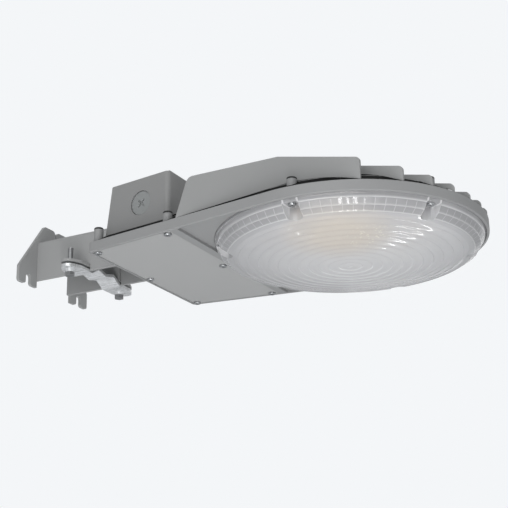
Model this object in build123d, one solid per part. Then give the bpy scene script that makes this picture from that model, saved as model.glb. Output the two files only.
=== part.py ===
from build123d import *
import os
from math import acos, atan2, cos, degrees, hypot, pi, sin, sqrt

os.makedirs("parts", exist_ok=True)

# Barn light on an arm bracket, in millimetres.
# Every piece is modelled in the lamp's own frame: X forward to the lens, Z up, the origin at the
# centre of the lens on the underside of the bottom frame. The finished pieces are then moved
# together, so that the origin of the part is on the axis of the arm that carries the lamp.

# Clearances and cutting
thread_gap = 0.06
bolt_hole_gap = 0.3
screw_tip_gap = 1.0
cut_past = 1.0

# Bottom frame
nose_radius = 117.5
rear_reach = 207.2
rear_half_width = 89.2
rear_corner_radius = 4.0
least_corner_radius = 0.5
frame_height = 9.2
frame_rim = 2.6
frame_edge_radius = 1.0
lens_seat_radius = 115.2
lens_seat_depth = 4.0
light_window_radius = 96.0
floor_depth = 2.6
floor_rear_edge = 110.5

# Driver cover and its seat in the frame
cover_front_edge = 118.5
cover_gap = 0.3
cover_thickness = 2.0
cover_gasket_thickness = 1.2
cover_seat_depth = 3.6
cover_seat_width = 11.0
cover_gasket_margin = 0.6

# Underside screws and the posts that take them
screw_radius = 2.0
screw_clearance = 0.3
screw_head_radius = 3.5
screw_head_height = 1.8
screw_reach = 12.0
screw_head_round_share = 0.5
screw_slot_share = 0.6
screw_slot_width = 0.8
post_radius = 4.1
post_top = 18.0
rear_post_top = 21.0
low_post_top = 16.0
post_hole_gap = 0.4
post_cap_height = 2.0
post_cap_edge_radius = 1.2
cover_screw_rear = 200.0
cover_screw_rear_half_width = 84.0
cover_screw_front = 123.5
cover_screw_front_half_width = 94.0
lens_screw_circle = 108.8
lens_screw_count = 6

# Shoulder, deck and seal
shoulder_slope = 0.66
deck_height = 29.0
deck_slope = 0.135
deck_thickness = 7.0
ceiling_slope = 0.0965
shoulder_wall = 6.5
seal_width = 12.5
seal_groove_depth = 2.2
seal_gap = 0.3
seal_edge_inset = 0.8
cavity_inset = 16.0

# Cooling fins
fin_count_each_side = 5
fin_pitch = 20.4
fin_thickness = 2.4
fin_nose_gap = 0.1
fin_seat_gap = 0.05
fin_height = 43.2
fin_rear_foot = 110.5
fin_rear_top = 99.0
fin_slope_start = 15.0
fin_slope = 0.2175
fin_rear_corner_radius = 7.0
fin_front_corner_radius = 4.0

# Driver box
box_inset = 13.0
box_front = 127.0
box_rear_foot = 198.2
box_rear_top = 190.4
box_height = 61.8
box_wall = 3.0
box_corner_radius = 4.0
box_edge_radius = 1.4
box_lip_height = 1.0
box_lip_width = 5.0
knockout_centre = 158.0
knockout_height = 38.8
knockout_radius = 11.1
knockout_gap = 0.15
knockout_recess = 1.2
knockout_flange_radius = 13.0
knockout_flange_thickness = 1.2
knockout_ring_thickness = 1.5
knockout_ring_lip = 3.0
knockout_edge_radius = 0.4
knockout_slot_length = 9.0
knockout_slot_width = 1.6
knockout_slot_depth = 1.2
knockout_slot_turn = 45.0

# Light source
pad_boss_radius = 45.0
pad_boss_foot = 15.5
pad_thickness = 0.5
board_radius = 44.0
board_thickness = 1.6
emitter_radius = 34.0
emitter_thickness = 0.8
board_screw_circle = 39.5
board_screw_count = 3
board_screw_radius = 1.5
board_screw_head_radius = 2.6
board_screw_head_height = 1.4
board_screw_reach = 6.0
board_hole_gap = 0.2
reflector_inner_radius = 46.5
reflector_inner_height = 12.0
reflector_foot_radius = 94.0
reflector_lip_radius = 101.0
reflector_thickness = 0.8

# Lens
lens_gap = 0.3
lens_flange_thickness = 2.0
lens_gasket_thickness = 1.2
lens_gasket_inner_radius = 98.0
lens_gasket_outer_radius = 104.0
lens_wall = 2.4
lens_hollow_margin = 1.0
lens_hollow_draw = 0.97
lens_hollow_corner = 3.6
lens_side_rings = ((112.5, 2.9), (108.5, 8.0), (103.5, 12.0))
lens_depth = 22.2
lens_ring_pitch = 8.5
lens_ring_count = 11
lens_ring_step = 0.45
lens_dome_power = 3.0
pocket_width = 14.0
pocket_inner_radius = 99.5
pocket_wall = 2.0
pocket_floor_depth = 2.2

# Driver, terminal block and leads
driver_length = 116.0
driver_width = 38.0
driver_height = 28.0
driver_centre = 159.0
driver_corner_radius = 2.0
driver_cap_thickness = 4.0
driver_ear_length = 14.0
driver_ear_thickness = 1.6
driver_boss_radius = 4.5
driver_boss_length = 4.0
driver_screw_reach = 5.0
block_length = 30.0
block_width = 14.0
block_height = 8.0
block_centre = 108.0
block_ways = 3
block_hole_radius = 2.2
block_hole_depth = 3.0
lead_radius = 1.05
lead_spacing = 3.5
lead_bend_radius = 6.0
lead_end_gap = 0.3
supply_lead_height = 17.8
supply_lead_offset = 8.0
led_lead_height = 14.2
led_lead_offset = 10.0
led_lead_half_spacing = 20.0
grommet_height = 31.0
grommet_radius = 9.0
grommet_bore_radius = 5.5
grommet_flange_radius = 11.5
grommet_flange_thickness = 1.6
grommet_edge_radius = 0.8
grommet_length = 10.0

# Arm, bracket and clamp. The arm is a nominal 1-1/4 inch pipe.
clamp_to_lens = 259.0
arm_axis_height = 21.0
arm_radius = 21.1
arm_clearance = 0.2
saddle_thickness = 2.5
saddle_width = 20.0
saddle_foot_underside = 12.6
saddle_to_plate_gap = 0.3
plate_thickness = 2.8
plate_underside = 9.3
bracket_rear = 311.7
bracket_notch_gap = 0.3
flange_half_width = 54.0
flange_top = 66.0
flange_top_half_width = 18.0
flange_slant_foot = 17.5
flange_tooth_foot = 2.2
flange_middle_gap = 2.4
flange_corner_radius = 2.5
flange_top_corner_radius = 4.0
wall_slot_spacing = 80.0
wall_slot_width = 7.0
wall_slot_top = 12.3
mount_pad_rear = 202.0
mount_pad_half_width = 48.0
mount_pad_foot = 13.0
mount_pad_top = 51.0
front_flange_half_width = 45.0
front_flange_foot = 14.0
bracket_bolt_spacing = 71.0
bracket_bolt_heights = (21.0, 40.0)
bracket_bolt_radius = 3.0
bracket_bolt_head_width = 10.0
bracket_bolt_head_height = 4.0
bracket_bolt_reach = 9.0
bracket_washer_radius = 6.0
bracket_washer_thickness = 1.2

# Clamp strap and bolts
strap_thickness = 2.8
strap_width = 19.6
strap_ear_underside = 7.6
strap_ear_start = 22.5
strap_peak = 12.5
strap_peak_rise = 6.2
strap_middle_rise = 3.0
strap_bend_radius = 4.0
strap_ear_overlap = 3.0
clamp_bolt_spacing = 80.5
clamp_bolt_set_back = 2.4
clamp_tip = 52.5
clamp_tip_radius = 7.0
clamp_bolt_radius = 2.5
clamp_bolt_top = 29.3
clamp_bolt_chamfer = 0.5
clamp_washer_radius = 5.0
clamp_washer_thickness = 0.9
clamp_lock_washer_radius = 4.4
clamp_lock_washer_thickness = 1.1
clamp_bolt_head_width = 8.0
clamp_bolt_head_height = 3.5

# Values that follow from the ones above
side_angle = atan2(rear_reach, rear_half_width) - acos(nose_radius / hypot(rear_reach, rear_half_width))
deck_inset = (deck_height - frame_height) / shoulder_slope
deck_underside = deck_height - deck_thickness
saddle_inner_radius = arm_radius + arm_clearance
saddle_outer_radius = saddle_inner_radius + saddle_thickness
plate_inner = saddle_outer_radius + saddle_to_plate_gap
plate_outer = plate_inner + plate_thickness
web_underside = arm_axis_height + saddle_outer_radius + saddle_to_plate_gap
web_top = web_underside + plate_thickness
board_top = pad_boss_foot - pad_thickness
board_foot = board_top - board_thickness
cover_foot = cover_seat_depth - cover_gasket_thickness - cover_thickness
lens_flange_top = lens_seat_depth - lens_gasket_thickness
lens_flange_foot = lens_flange_top - lens_flange_thickness
to_arm_axis = Location((clamp_to_lens, 0, -arm_axis_height))


def side_y(x, inset):
    """Half width of the frame's outline at x, taken in by an inset."""
    return (nose_radius - inset + x * sin(side_angle)) / cos(side_angle)


def outline(inset):
    """Plan of the frame: a round nose with straight sides that narrow to the rear."""
    reach = nose_radius - inset
    rear = inset - rear_reach
    tangent_x = -reach * sin(side_angle)
    tangent_y = reach * cos(side_angle)
    corner_y = side_y(rear, inset)
    nose = ThreePointArc((tangent_x, tangent_y), (reach, 0), (tangent_x, -tangent_y))
    body = Polyline((tangent_x, -tangent_y), (rear, -corner_y), (rear, corner_y), (tangent_x, tangent_y))
    face = make_face([nose, body])
    corners = face.vertices().sort_by(Axis.X)[:2]
    return fillet(corners, max(rear_corner_radius - inset, least_corner_radius))


def slab(plan, low, high):
    """A plan drawn at z = 0, thickened from one height to another."""
    return extrude(Plane.XY.offset(low) * plan, high - low)


def strip(x_low, x_high, half_width):
    """A rectangle across the lamp, to cut a plan at its front or rear."""
    length = x_high - x_low
    return Pos(x_low + length / 2, 0) * Rectangle(length, 2 * half_width)


def block(x_low, x_high, y_low, y_high, z_low, z_high):
    """A box from its low and high corners."""
    size = (x_high - x_low, y_high - y_low, z_high - z_low)
    centre = (x_low + size[0] / 2, y_low + size[1] / 2, z_low + size[2] / 2)
    return Pos(*centre) * Box(*size)


def bar(x_low, x_high, y, z, radius):
    """A level round bar along X."""
    return Pos((x_low + x_high) / 2, y, z) * Rot(0, 90, 0) * Cylinder(radius, x_high - x_low)


def rod(x, y, low, high, radius):
    """An upright round bar."""
    return Pos(x, y, (low + high) / 2) * Cylinder(radius, high - low)


def bay(inset, front):
    """Plan of the frame behind a straight front edge."""
    return outline(inset) & strip(-rear_reach, -front, nose_radius)


def cover_screw_places():
    """Six places: the cover's four corners and the middles of its front and rear edges."""
    corners = [(-cover_screw_rear, cover_screw_rear_half_width),
               (-cover_screw_front, cover_screw_front_half_width)]
    places = [(x, side * y) for x, y in corners for side in (-1, 1)]
    return places + [(-cover_screw_rear, 0), (-cover_screw_front, 0)]


def lens_screw_places():
    """Places on the lens screw circle, the first straight to the side."""
    turns = [pi / 2 + 2 * pi * i / lens_screw_count for i in range(lens_screw_count)]
    return [(lens_screw_circle * cos(turn), lens_screw_circle * sin(turn)) for turn in turns]


def stands_outside(place):
    """Whether a post at this place rises through the shoulder, not inside the housing."""
    x, y = place
    on_nose = hypot(x, y) > nose_radius - cavity_inset and x > -nose_radius / 2
    on_side = abs(y) > side_y(x, cavity_inset) and x <= -nose_radius / 2
    return on_nose or on_side or x < -mount_pad_rear + post_radius


def all_screw_places():
    """Every underside screw."""
    return cover_screw_places() + lens_screw_places()


def outer_posts():
    """Screw places whose posts show above the shoulder, apart from the one inside the bracket."""
    return [place for place in all_screw_places() if stands_outside(place) and abs(place[1]) > plate_outer]


def post_height(place):
    """Outer posts are tall, the rear two tallest, and those out of sight stay low."""
    if place not in outer_posts():
        return low_post_top
    return rear_post_top if place[0] < -cover_screw_front - post_radius else post_top


def under_slope(height, slope):
    """All space under a roof that is level over the rear and falls towards the nose."""
    rear = -rear_reach - cut_past
    front = nose_radius + cut_past
    fall = slope * (front + fin_slope_start)
    view = Polygon((rear, -rear_reach), (front, -rear_reach), (front, height - fall),
                   (-fin_slope_start, height), (rear, height), align=None)
    return extrude(Plane.XZ * view, 2 * nose_radius, both=True)


def sloping_sides(drop):
    """The space inside the shoulder's slope over the whole outline, lowered by a drop."""
    low = Plane.XY.offset(frame_height - drop) * outline(0)
    high = Plane.XY.offset(deck_height - drop) * outline(deck_inset)
    return loft([low, high], ruled=True)


def shoulder(drop):
    """The sloping shoulder and the deck over the whole outline, lowered by a drop."""
    return sloping_sides(drop) & under_slope(deck_height - drop, deck_slope)


def above_frame(solid):
    """Only what lies above the frame's top face."""
    return solid & slab(strip(-rear_reach, nose_radius, nose_radius), frame_height, deck_height)


def make_frame():
    """Bottom frame: rim, seats for the lens and the cover, openings and screw posts."""
    body = slab(outline(0), 0, frame_height)
    foot_edges = body.faces().sort_by(Axis.Z)[0].edges()
    body = fillet(foot_edges, frame_edge_radius)
    seat_opening = bay(cover_seat_width + frame_rim, cover_front_edge + cover_seat_width)
    floor = outline(frame_rim) & strip(-floor_rear_edge, 0, nose_radius)
    body -= slab(Circle(lens_seat_radius), -cut_past, lens_seat_depth)
    body -= slab(Circle(light_window_radius), -cut_past, frame_height + cut_past)
    body -= slab(bay(frame_rim, cover_front_edge - cover_gap), -cut_past, cover_seat_depth)
    body -= slab(seat_opening, -cut_past, frame_height + cut_past)
    body -= slab(floor, -cut_past, floor_depth)
    for place in all_screw_places():
        body += rod(*place, lens_seat_depth, post_height(place), post_radius)
    for place in all_screw_places():
        body -= rod(*place, -cut_past, screw_reach, screw_radius + screw_clearance)
    return body


def box_solid(inset, front, rear_shift, low, high):
    """The driver box as a plan with tapering sides under a side view with a leaning rear."""
    far = rear_reach
    plan = Polygon((-far, -side_y(-far, inset)), (-front, -side_y(-front, inset)),
                   (-front, side_y(-front, inset)), (-far, side_y(-far, inset)), align=None)
    lean = (box_rear_foot - box_rear_top) / (box_height - frame_height)
    rear_low = rear_shift - box_rear_foot + lean * (low - frame_height)
    rear_high = rear_shift - box_rear_foot + lean * (high - frame_height)
    side = Polygon((rear_low, low), (-front, low), (-front, high), (rear_high, high), align=None)
    view = extrude(Plane.XZ * side, 2 * nose_radius, both=True)
    return slab(plan, low, high) & view


def make_box():
    """Outside of the driver box, with its lip along the front of the top."""
    body = box_solid(box_inset, box_front, 0, frame_height, box_height)
    body = fillet(body.edges().filter_by(Axis.Z), box_corner_radius)
    body = fillet(body.faces().sort_by(Axis.Z)[-1].edges(), box_edge_radius)
    half_width = side_y(-box_front, box_inset) - box_corner_radius
    lip_rear = -box_front - box_edge_radius - box_lip_width
    lip = block(lip_rear, lip_rear + box_lip_width, -half_width, half_width, box_height - cut_past,
                box_height + box_lip_height)
    return body + fillet(lip.faces().sort_by(Axis.Z)[-1].edges(), box_lip_height / 2)


def fin(y):
    """One cooling fin: upright, level over the rear, sloping down to the nose."""
    front = sqrt((nose_radius - fin_nose_gap) ** 2 - (abs(y) + fin_thickness / 2) ** 2)
    front_top = fin_height - fin_slope * (front + fin_slope_start)
    foot = frame_height + fin_seat_gap
    profile = Polygon((-fin_rear_foot, foot), (front, foot), (front, front_top),
                      (-fin_slope_start, fin_height), (-fin_rear_top, fin_height), align=None)
    rear_corner = profile.vertices().sort_by_distance((-fin_rear_top, fin_height, 0))[0]
    profile = fillet(rear_corner, fin_rear_corner_radius)
    front_corner = profile.vertices().sort_by_distance((front, front_top, 0))[0]
    profile = fillet(front_corner, fin_front_corner_radius)
    return extrude(Plane.XZ.offset(-y) * profile, fin_thickness / 2, both=True)


def knockout_plane(distance):
    """Plane on the near side wall at the knockout, facing out, moved inwards by a distance."""
    outward = Vector(-sin(side_angle), -cos(side_angle), 0)
    foot = Vector(-knockout_centre, -side_y(-knockout_centre, box_inset), knockout_height)
    along = (cos(side_angle), -sin(side_angle), 0)
    return Plane(origin=foot - outward * distance, x_dir=along, z_dir=outward)


def knockout_disc(radius, outer, inner):
    """A disc on the knockout's axis, between two depths inside the wall's outer face."""
    return extrude(knockout_plane(inner) * Circle(radius), inner - outer)


def make_housing():
    """Top casting: shoulder with its seal groove, deck, driver box and bracket pad."""
    full = shoulder(0)
    groove = slab(outline(0) - outline(seal_width), 0, deck_height)
    low = above_frame(shoulder(seal_groove_depth))
    below = frame_height - cut_past
    roof = box_height - box_wall
    body = (full - groove) + low
    body += make_box()
    body += mount_pad(0)
    cavity = sloping_sides(shoulder_wall) & slab(outline(cavity_inset), below, deck_underside)
    body -= cavity & under_slope(deck_underside, ceiling_slope)
    body -= box_solid(box_inset + box_wall, box_front + box_wall, box_wall, below, roof)
    body += rod(0, 0, pad_boss_foot, deck_height, pad_boss_radius) & shoulder(deck_thickness / 2)
    for side in (-1, 1):
        body += driver_boss(side)
        body -= rod(-driver_centre, side * driver_screw_half_spacing(), driver_top() - cut_past, roof,
                    screw_radius + thread_gap)
    for place in outer_posts():
        body -= rod(*place, below, deck_height, post_radius + post_hole_gap)
    body -= rod(-cover_screw_rear, 0, below, low_post_top + post_hole_gap, post_radius + post_hole_gap)
    for place in board_screw_places():
        body -= rod(*place, pad_boss_foot - cut_past, board_foot + board_screw_reach + screw_tip_gap,
                    board_screw_radius + thread_gap)
    body -= knockout_disc(knockout_radius, -cut_past, box_wall + cut_past)
    body -= bar(-mount_pad_rear - cut_past, -box_rear_top + cut_past, 0, grommet_height, grommet_radius)
    for y, z in bracket_bolt_places():
        body -= bar(-mount_pad_rear - cut_past, bracket_bolt_tip() + screw_tip_gap, y, z,
                    bracket_bolt_radius + thread_gap)
    return body


def mount_pad(margin):
    """Flat pad behind the driver box for the bracket, grown by a margin."""
    return block(-mount_pad_rear - margin, -box_rear_top + cut_past + margin, -mount_pad_half_width - margin,
                 mount_pad_half_width + margin, mount_pad_foot - margin, mount_pad_top + margin)


def make_fins():
    """Cooling fins that stand on the shoulder and the deck."""
    seat = shoulder(-fin_seat_gap)
    group = []
    for i in range(-fin_count_each_side, fin_count_each_side + 1):
        group += (fin(fin_pitch * i) - seat).solids()
    return Compound(children=group)


def driver_screw_half_spacing():
    """Distance of each driver screw from the middle."""
    return driver_length / 2 + driver_cap_thickness + driver_ear_length / 2


def driver_boss(side):
    """Boss under the roof of the box that one end of the driver hangs from."""
    y = side * driver_screw_half_spacing()
    return rod(-driver_centre, y, driver_top(), box_height - box_wall + cut_past, driver_boss_radius)


def board_screw_places():
    """Screws round the LED board, clear of the leads."""
    turns = [2 * pi * i / board_screw_count for i in range(board_screw_count)]
    return [(board_screw_circle * cos(turn), board_screw_circle * sin(turn)) for turn in turns]


def make_seal():
    """Seal in the groove under the fins' outer ends, with holes for the posts."""
    top = shoulder(seal_gap)
    bottom = shoulder(seal_groove_depth - seal_gap)
    ring = slab(outline(seal_edge_inset) - outline(seal_width - seal_gap), frame_height, deck_height)
    body = (top - bottom) & ring
    below = frame_height - cut_past
    body -= box_solid(box_inset - seal_gap, box_front - seal_gap, -seal_gap, below, deck_height)
    for place in outer_posts():
        body -= rod(*place, below, deck_height, post_radius + post_hole_gap)
    body -= rod(-cover_screw_rear, 0, below, deck_height, post_radius + post_hole_gap)
    body -= mount_pad(seal_gap)
    return body


def make_post_caps():
    """A dark domed cap on each post that shows."""
    caps = []
    for x, y in outer_posts():
        top = post_height((x, y))
        cap = rod(x, y, top, top + post_cap_height, post_radius)
        caps.append(fillet(cap.faces().sort_by(Axis.Z)[-1].edges(), post_cap_edge_radius))
    return Compound(children=caps)


def screws(places, head_foot, head_height, head_radius, tip, radius):
    """Pan head screws driven upwards: the head hangs under head_foot + head_height."""
    group = []
    for x, y in places:
        seat = head_foot + head_height
        head = rod(x, y, head_foot, seat, head_radius)
        head = fillet(head.faces().sort_by(Axis.Z)[0].edges(), head_height * screw_head_round_share)
        reach = head_radius * screw_slot_share
        half = screw_slot_width / 2
        floor = head_foot + head_height / 2
        below = head_foot - cut_past
        cross = block(x - reach, x + reach, y - half, y + half, below, floor)
        cross += block(x - half, x + half, y - reach, y + reach, below, floor)
        group.append(head - cross + rod(x, y, seat, tip, radius))
    return Compound(children=group)


def lens_outside():
    """Lens outline as radius and height pairs, from the flange in to the crown."""
    flange_radius = lens_seat_radius - lens_gap
    points = [(0, lens_flange_top), (flange_radius, lens_flange_top), (flange_radius, lens_flange_foot)]
    points += [(radius, -depth) for radius, depth in lens_side_rings]
    shoulder_radius, shoulder_depth = lens_side_rings[-1]
    for i in range(1, lens_ring_count + 1):
        radius = shoulder_radius - lens_ring_pitch * i
        depth = lens_depth - (lens_depth - shoulder_depth) * (radius / shoulder_radius) ** lens_dome_power
        points.append((radius, -depth + lens_ring_step))
        points.append((radius, -depth))
    return points + [(0, -lens_depth)]


def lens_inside():
    """The hollow of the lens: its outline moved in by the wall, without the small steps."""
    shoulder_radius, shoulder_depth = lens_side_rings[-1]
    top = lens_flange_top + cut_past
    mouth_radius = lens_gasket_inner_radius + lens_hollow_margin
    points = [(0, top), (mouth_radius, top), (mouth_radius, -lens_side_rings[0][1])]
    points += [(shoulder_radius - lens_hollow_corner, lens_wall - shoulder_depth)]
    for i in range(1, lens_ring_count + 1):
        radius = (shoulder_radius - lens_ring_pitch * i) * lens_hollow_draw
        depth = lens_depth - (lens_depth - shoulder_depth) * (radius / shoulder_radius) ** lens_dome_power
        points.append((radius, lens_wall - depth))
    return points + [(0, lens_wall - lens_depth)]


def turned(points):
    """A solid turned about the lens axis from radius and height pairs."""
    return revolve(Plane.XZ * Polygon(*points, align=None), Axis.Z)


def pocket(turn, half_width, inner, low, high):
    """A round-ended slot that runs out through the rim at one screw."""
    plan = Pos(inner + half_width, 0) * Circle(half_width)
    plan += Pos(inner + half_width + nose_radius / 2, 0) * Rectangle(nose_radius, 2 * half_width)
    return Rot(0, 0, degrees(turn)) * slab(plan, low, high)


def make_lens():
    """Stepped clear lens with a flange and six round-ended screw pockets."""
    outside = turned(lens_outside())
    body = outside - turned(lens_inside())
    turns = [atan2(y, x) for x, y in lens_screw_places()]
    half_width = pocket_width / 2
    for turn in turns:
        lining = pocket(turn, half_width + pocket_wall, pocket_inner_radius - pocket_wall, -lens_depth,
                        lens_flange_top)
        body += lining & outside
    for turn in turns:
        body -= pocket(turn, half_width, pocket_inner_radius, -lens_depth, -pocket_floor_depth)
    for place in lens_screw_places():
        body -= rod(*place, -pocket_floor_depth - cut_past, lens_flange_top + cut_past,
                    screw_radius + screw_clearance)
    return body


def make_reflector():
    """Shallow white dish that rises from the frame's top face to the LED board."""
    low = frame_height
    section = Polygon((reflector_inner_radius, reflector_inner_height), (reflector_foot_radius, low),
                      (reflector_lip_radius, low), (reflector_lip_radius, low + reflector_thickness),
                      (reflector_foot_radius, low + reflector_thickness),
                      (reflector_inner_radius, reflector_inner_height + reflector_thickness), align=None)
    return revolve(Plane.XZ * section, Axis.Z)


def make_board():
    """Round LED board with its screw holes."""
    body = rod(0, 0, board_foot, board_top, board_radius)
    for place in board_screw_places():
        body -= rod(*place, board_foot - cut_past, board_top + cut_past, board_screw_radius + board_hole_gap)
    return body


def make_thermal_pad():
    """Pad between the board and the boss under the deck."""
    body = rod(0, 0, board_top, pad_boss_foot, board_radius)
    for place in board_screw_places():
        body -= rod(*place, board_top - cut_past, pad_boss_foot + cut_past,
                    board_screw_radius + board_hole_gap)
    return body


def make_cover():
    """Flat driver cover that sits inside the frame's rim."""
    body = slab(bay(frame_rim + cover_gap, cover_front_edge), cover_foot, cover_foot + cover_thickness)
    for place in cover_screw_places():
        body -= rod(*place, cover_foot - cut_past, cover_seat_depth, screw_radius + screw_clearance)
    return body


def make_cover_gasket():
    """Flat gasket between the cover and its seat."""
    outer = bay(frame_rim + cover_gap + cover_gasket_margin, cover_front_edge + cover_gasket_margin)
    inset = cover_seat_width - cover_gasket_margin
    inner = bay(frame_rim + inset, cover_front_edge + inset)
    body = slab(outer - inner, cover_seat_depth - cover_gasket_thickness, cover_seat_depth)
    for place in cover_screw_places():
        body -= rod(*place, 0, frame_height, screw_radius + screw_clearance)
    return body


def make_lens_gasket():
    """Ring gasket inboard of the lens screws."""
    ring = Circle(lens_gasket_outer_radius) - Circle(lens_gasket_inner_radius)
    return slab(ring, lens_flange_top, lens_seat_depth)


def driver_top():
    """Height of the driver's mounting ears, against the bosses under the roof."""
    return box_height - box_wall - driver_boss_length


def make_driver():
    """Driver case between its end caps."""
    top = driver_top()
    body = block(-driver_centre - driver_width / 2, -driver_centre + driver_width / 2, -driver_length / 2,
                 driver_length / 2, top - driver_height, top)
    return fillet(body.edges().filter_by(Axis.Y), driver_corner_radius)


def make_driver_caps():
    """End caps with the ears that the driver hangs from."""
    top = driver_top()
    ear_foot = top - driver_ear_thickness
    case_end = driver_length / 2
    cap_end = case_end + driver_cap_thickness
    rear = -driver_centre - driver_width / 2
    front = -driver_centre + driver_width / 2
    caps = []
    for side in (-1, 1):
        cap = block(rear, front, *sorted((side * case_end, side * cap_end)), top - driver_height, top)
        cap = fillet(cap.edges().filter_by(Axis.Y), driver_corner_radius)
        tips = sorted((side * cap_end, side * (cap_end + driver_ear_length)))
        ear = block(-driver_centre - driver_boss_radius, -driver_centre + driver_boss_radius, *tips,
                    ear_foot, top)
        hole = rod(-driver_centre, side * driver_screw_half_spacing(), ear_foot - cut_past, top + cut_past,
                   screw_radius + screw_clearance)
        caps.append(cap + ear - hole)
    return Compound(children=caps)


def make_driver_screws():
    """Screws that hold the driver's ears to the bosses."""
    seat = driver_top() - driver_ear_thickness
    places = [(-driver_centre, side * driver_screw_half_spacing()) for side in (-1, 1)]
    return screws(places, seat - screw_head_height, screw_head_height, screw_head_radius,
                  seat + driver_screw_reach, screw_radius)


def make_terminal_block():
    """Terminal block under the deck, between the driver box and the light source."""
    foot = deck_underside - block_height
    body = block(-block_centre - block_width / 2, -block_centre + block_width / 2, -block_length / 2,
                 block_length / 2, foot, deck_underside)
    for i in range(block_ways):
        y = (i - (block_ways - 1) / 2) * block_length / block_ways
        body -= rod(-block_centre, y, foot - cut_past, foot + block_hole_depth, block_hole_radius)
    return body


def lead(points):
    """One insulated lead: straight runs joined by arcs."""
    path = FilletPolyline(*points, radius=lead_bend_radius)
    return sweep(Plane(path @ 0, z_dir=path % 0) * Circle(lead_radius), path=path)


def make_supply_leads():
    """Leads from the terminal block back under the driver and up into it."""
    front = -block_centre - block_width / 2
    rear = -driver_centre - supply_lead_offset
    group = []
    for i in range(block_ways):
        y = (i - (block_ways - 1) / 2) * lead_spacing
        corner = (rear, y, supply_lead_height)
        group.append(lead([(front, y, supply_lead_height), corner, (rear, y, driver_foot())]))
    return Compound(children=group)


def make_led_leads():
    """Two leads from the driver down and forward to the rim of the LED board."""
    rear = -driver_centre + led_lead_offset
    inner = led_lead_half_spacing - lead_radius
    front = -sqrt((board_radius + lead_end_gap) ** 2 - inner ** 2)
    group = []
    for side in (-1, 1):
        y = side * led_lead_half_spacing
        corner = (rear, y, led_lead_height)
        group.append(lead([(rear, y, driver_foot()), corner, (front, y, led_lead_height)]))
    return Compound(children=group)


def driver_foot():
    """Height of the driver's underside."""
    return driver_top() - driver_height


def make_grommet():
    """Flanged grommet in the wire hole behind the driver box."""
    wall = -mount_pad_rear
    rear = wall - grommet_flange_thickness
    front = wall + grommet_length
    flange = bar(rear, wall, 0, grommet_height, grommet_flange_radius)
    flange = fillet(flange.faces().sort_by(Axis.X)[0].edges(), grommet_edge_radius)
    sleeve = bar(wall, front, 0, grommet_height, grommet_radius - seal_gap)
    hole = bar(rear - cut_past, front + cut_past, 0, grommet_height, grommet_bore_radius)
    return flange + sleeve - hole


def make_knockout_plug():
    """Plug in the knockout, set back from the wall, with a cross slot in its face."""
    radius = knockout_radius - knockout_gap
    body = knockout_disc(radius, knockout_recess, box_wall)
    face_centre = knockout_plane(knockout_recess).origin
    rim = body.edges().group_by(SortBy.LENGTH)[-1].sort_by_distance(face_centre)[0]
    body = fillet(rim, knockout_edge_radius)
    body += knockout_disc(knockout_flange_radius, box_wall, box_wall + knockout_flange_thickness)
    slot = knockout_plane(knockout_recess + knockout_slot_depth)
    cross = Rectangle(knockout_slot_length, knockout_slot_width)
    cross += Rectangle(knockout_slot_width, knockout_slot_length)
    return body - extrude(slot * Rot(0, 0, knockout_slot_turn) * cross, knockout_slot_depth + cut_past)


def make_knockout_ring():
    """Lock ring behind the plug's flange."""
    inner = box_wall + knockout_flange_thickness
    ring = Circle(knockout_flange_radius) - Circle(knockout_radius - knockout_ring_lip)
    return extrude(knockout_plane(inner + knockout_ring_thickness) * ring, knockout_ring_thickness)


def bracket_bolt_places():
    """Y and Z of the four bolts that hold the bracket to the pad."""
    return [(side * bracket_bolt_spacing / 2, z) for side in (-1, 1) for z in bracket_bolt_heights]


def bracket_bolt_tip():
    """Front end of the bracket bolts, short of the pad's inner face."""
    return -mount_pad_rear + bracket_bolt_reach


def wall_flange():
    """Plan of the two wall flanges, as seen from the rear: Y across, Z up."""
    half = Polygon((flange_middle_gap / 2, flange_top), (flange_middle_gap / 2, flange_tooth_foot),
                   (flange_half_width, flange_tooth_foot), (flange_half_width, flange_slant_foot),
                   (flange_top_half_width, flange_top), align=None)
    outer = half.vertices().sort_by_distance((flange_half_width, flange_slant_foot, 0))[0]
    tooth = half.vertices().sort_by_distance((flange_half_width, flange_tooth_foot, 0))[0]
    half = fillet([outer, tooth], flange_corner_radius)
    inner = half.vertices().sort_by_distance((flange_middle_gap / 2, flange_top, 0))[0]
    top = half.vertices().sort_by_distance((flange_top_half_width, flange_top, 0))[0]
    half = fillet([inner, top], flange_top_corner_radius)
    centre = wall_slot_spacing / 2
    slot_radius = wall_slot_width / 2
    slot_height = wall_slot_top - slot_radius
    half -= Pos(centre, slot_height) * Circle(slot_radius)
    half -= Pos(centre, slot_height - flange_top / 2) * Rectangle(wall_slot_width, flange_top)
    mouth = half.vertices().group_by(Axis.Y)[0].sort_by_distance((centre, flange_tooth_foot, 0))[:2]
    half = fillet(mouth, flange_corner_radius)
    return half + mirror(half, about=Plane.YZ)


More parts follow.
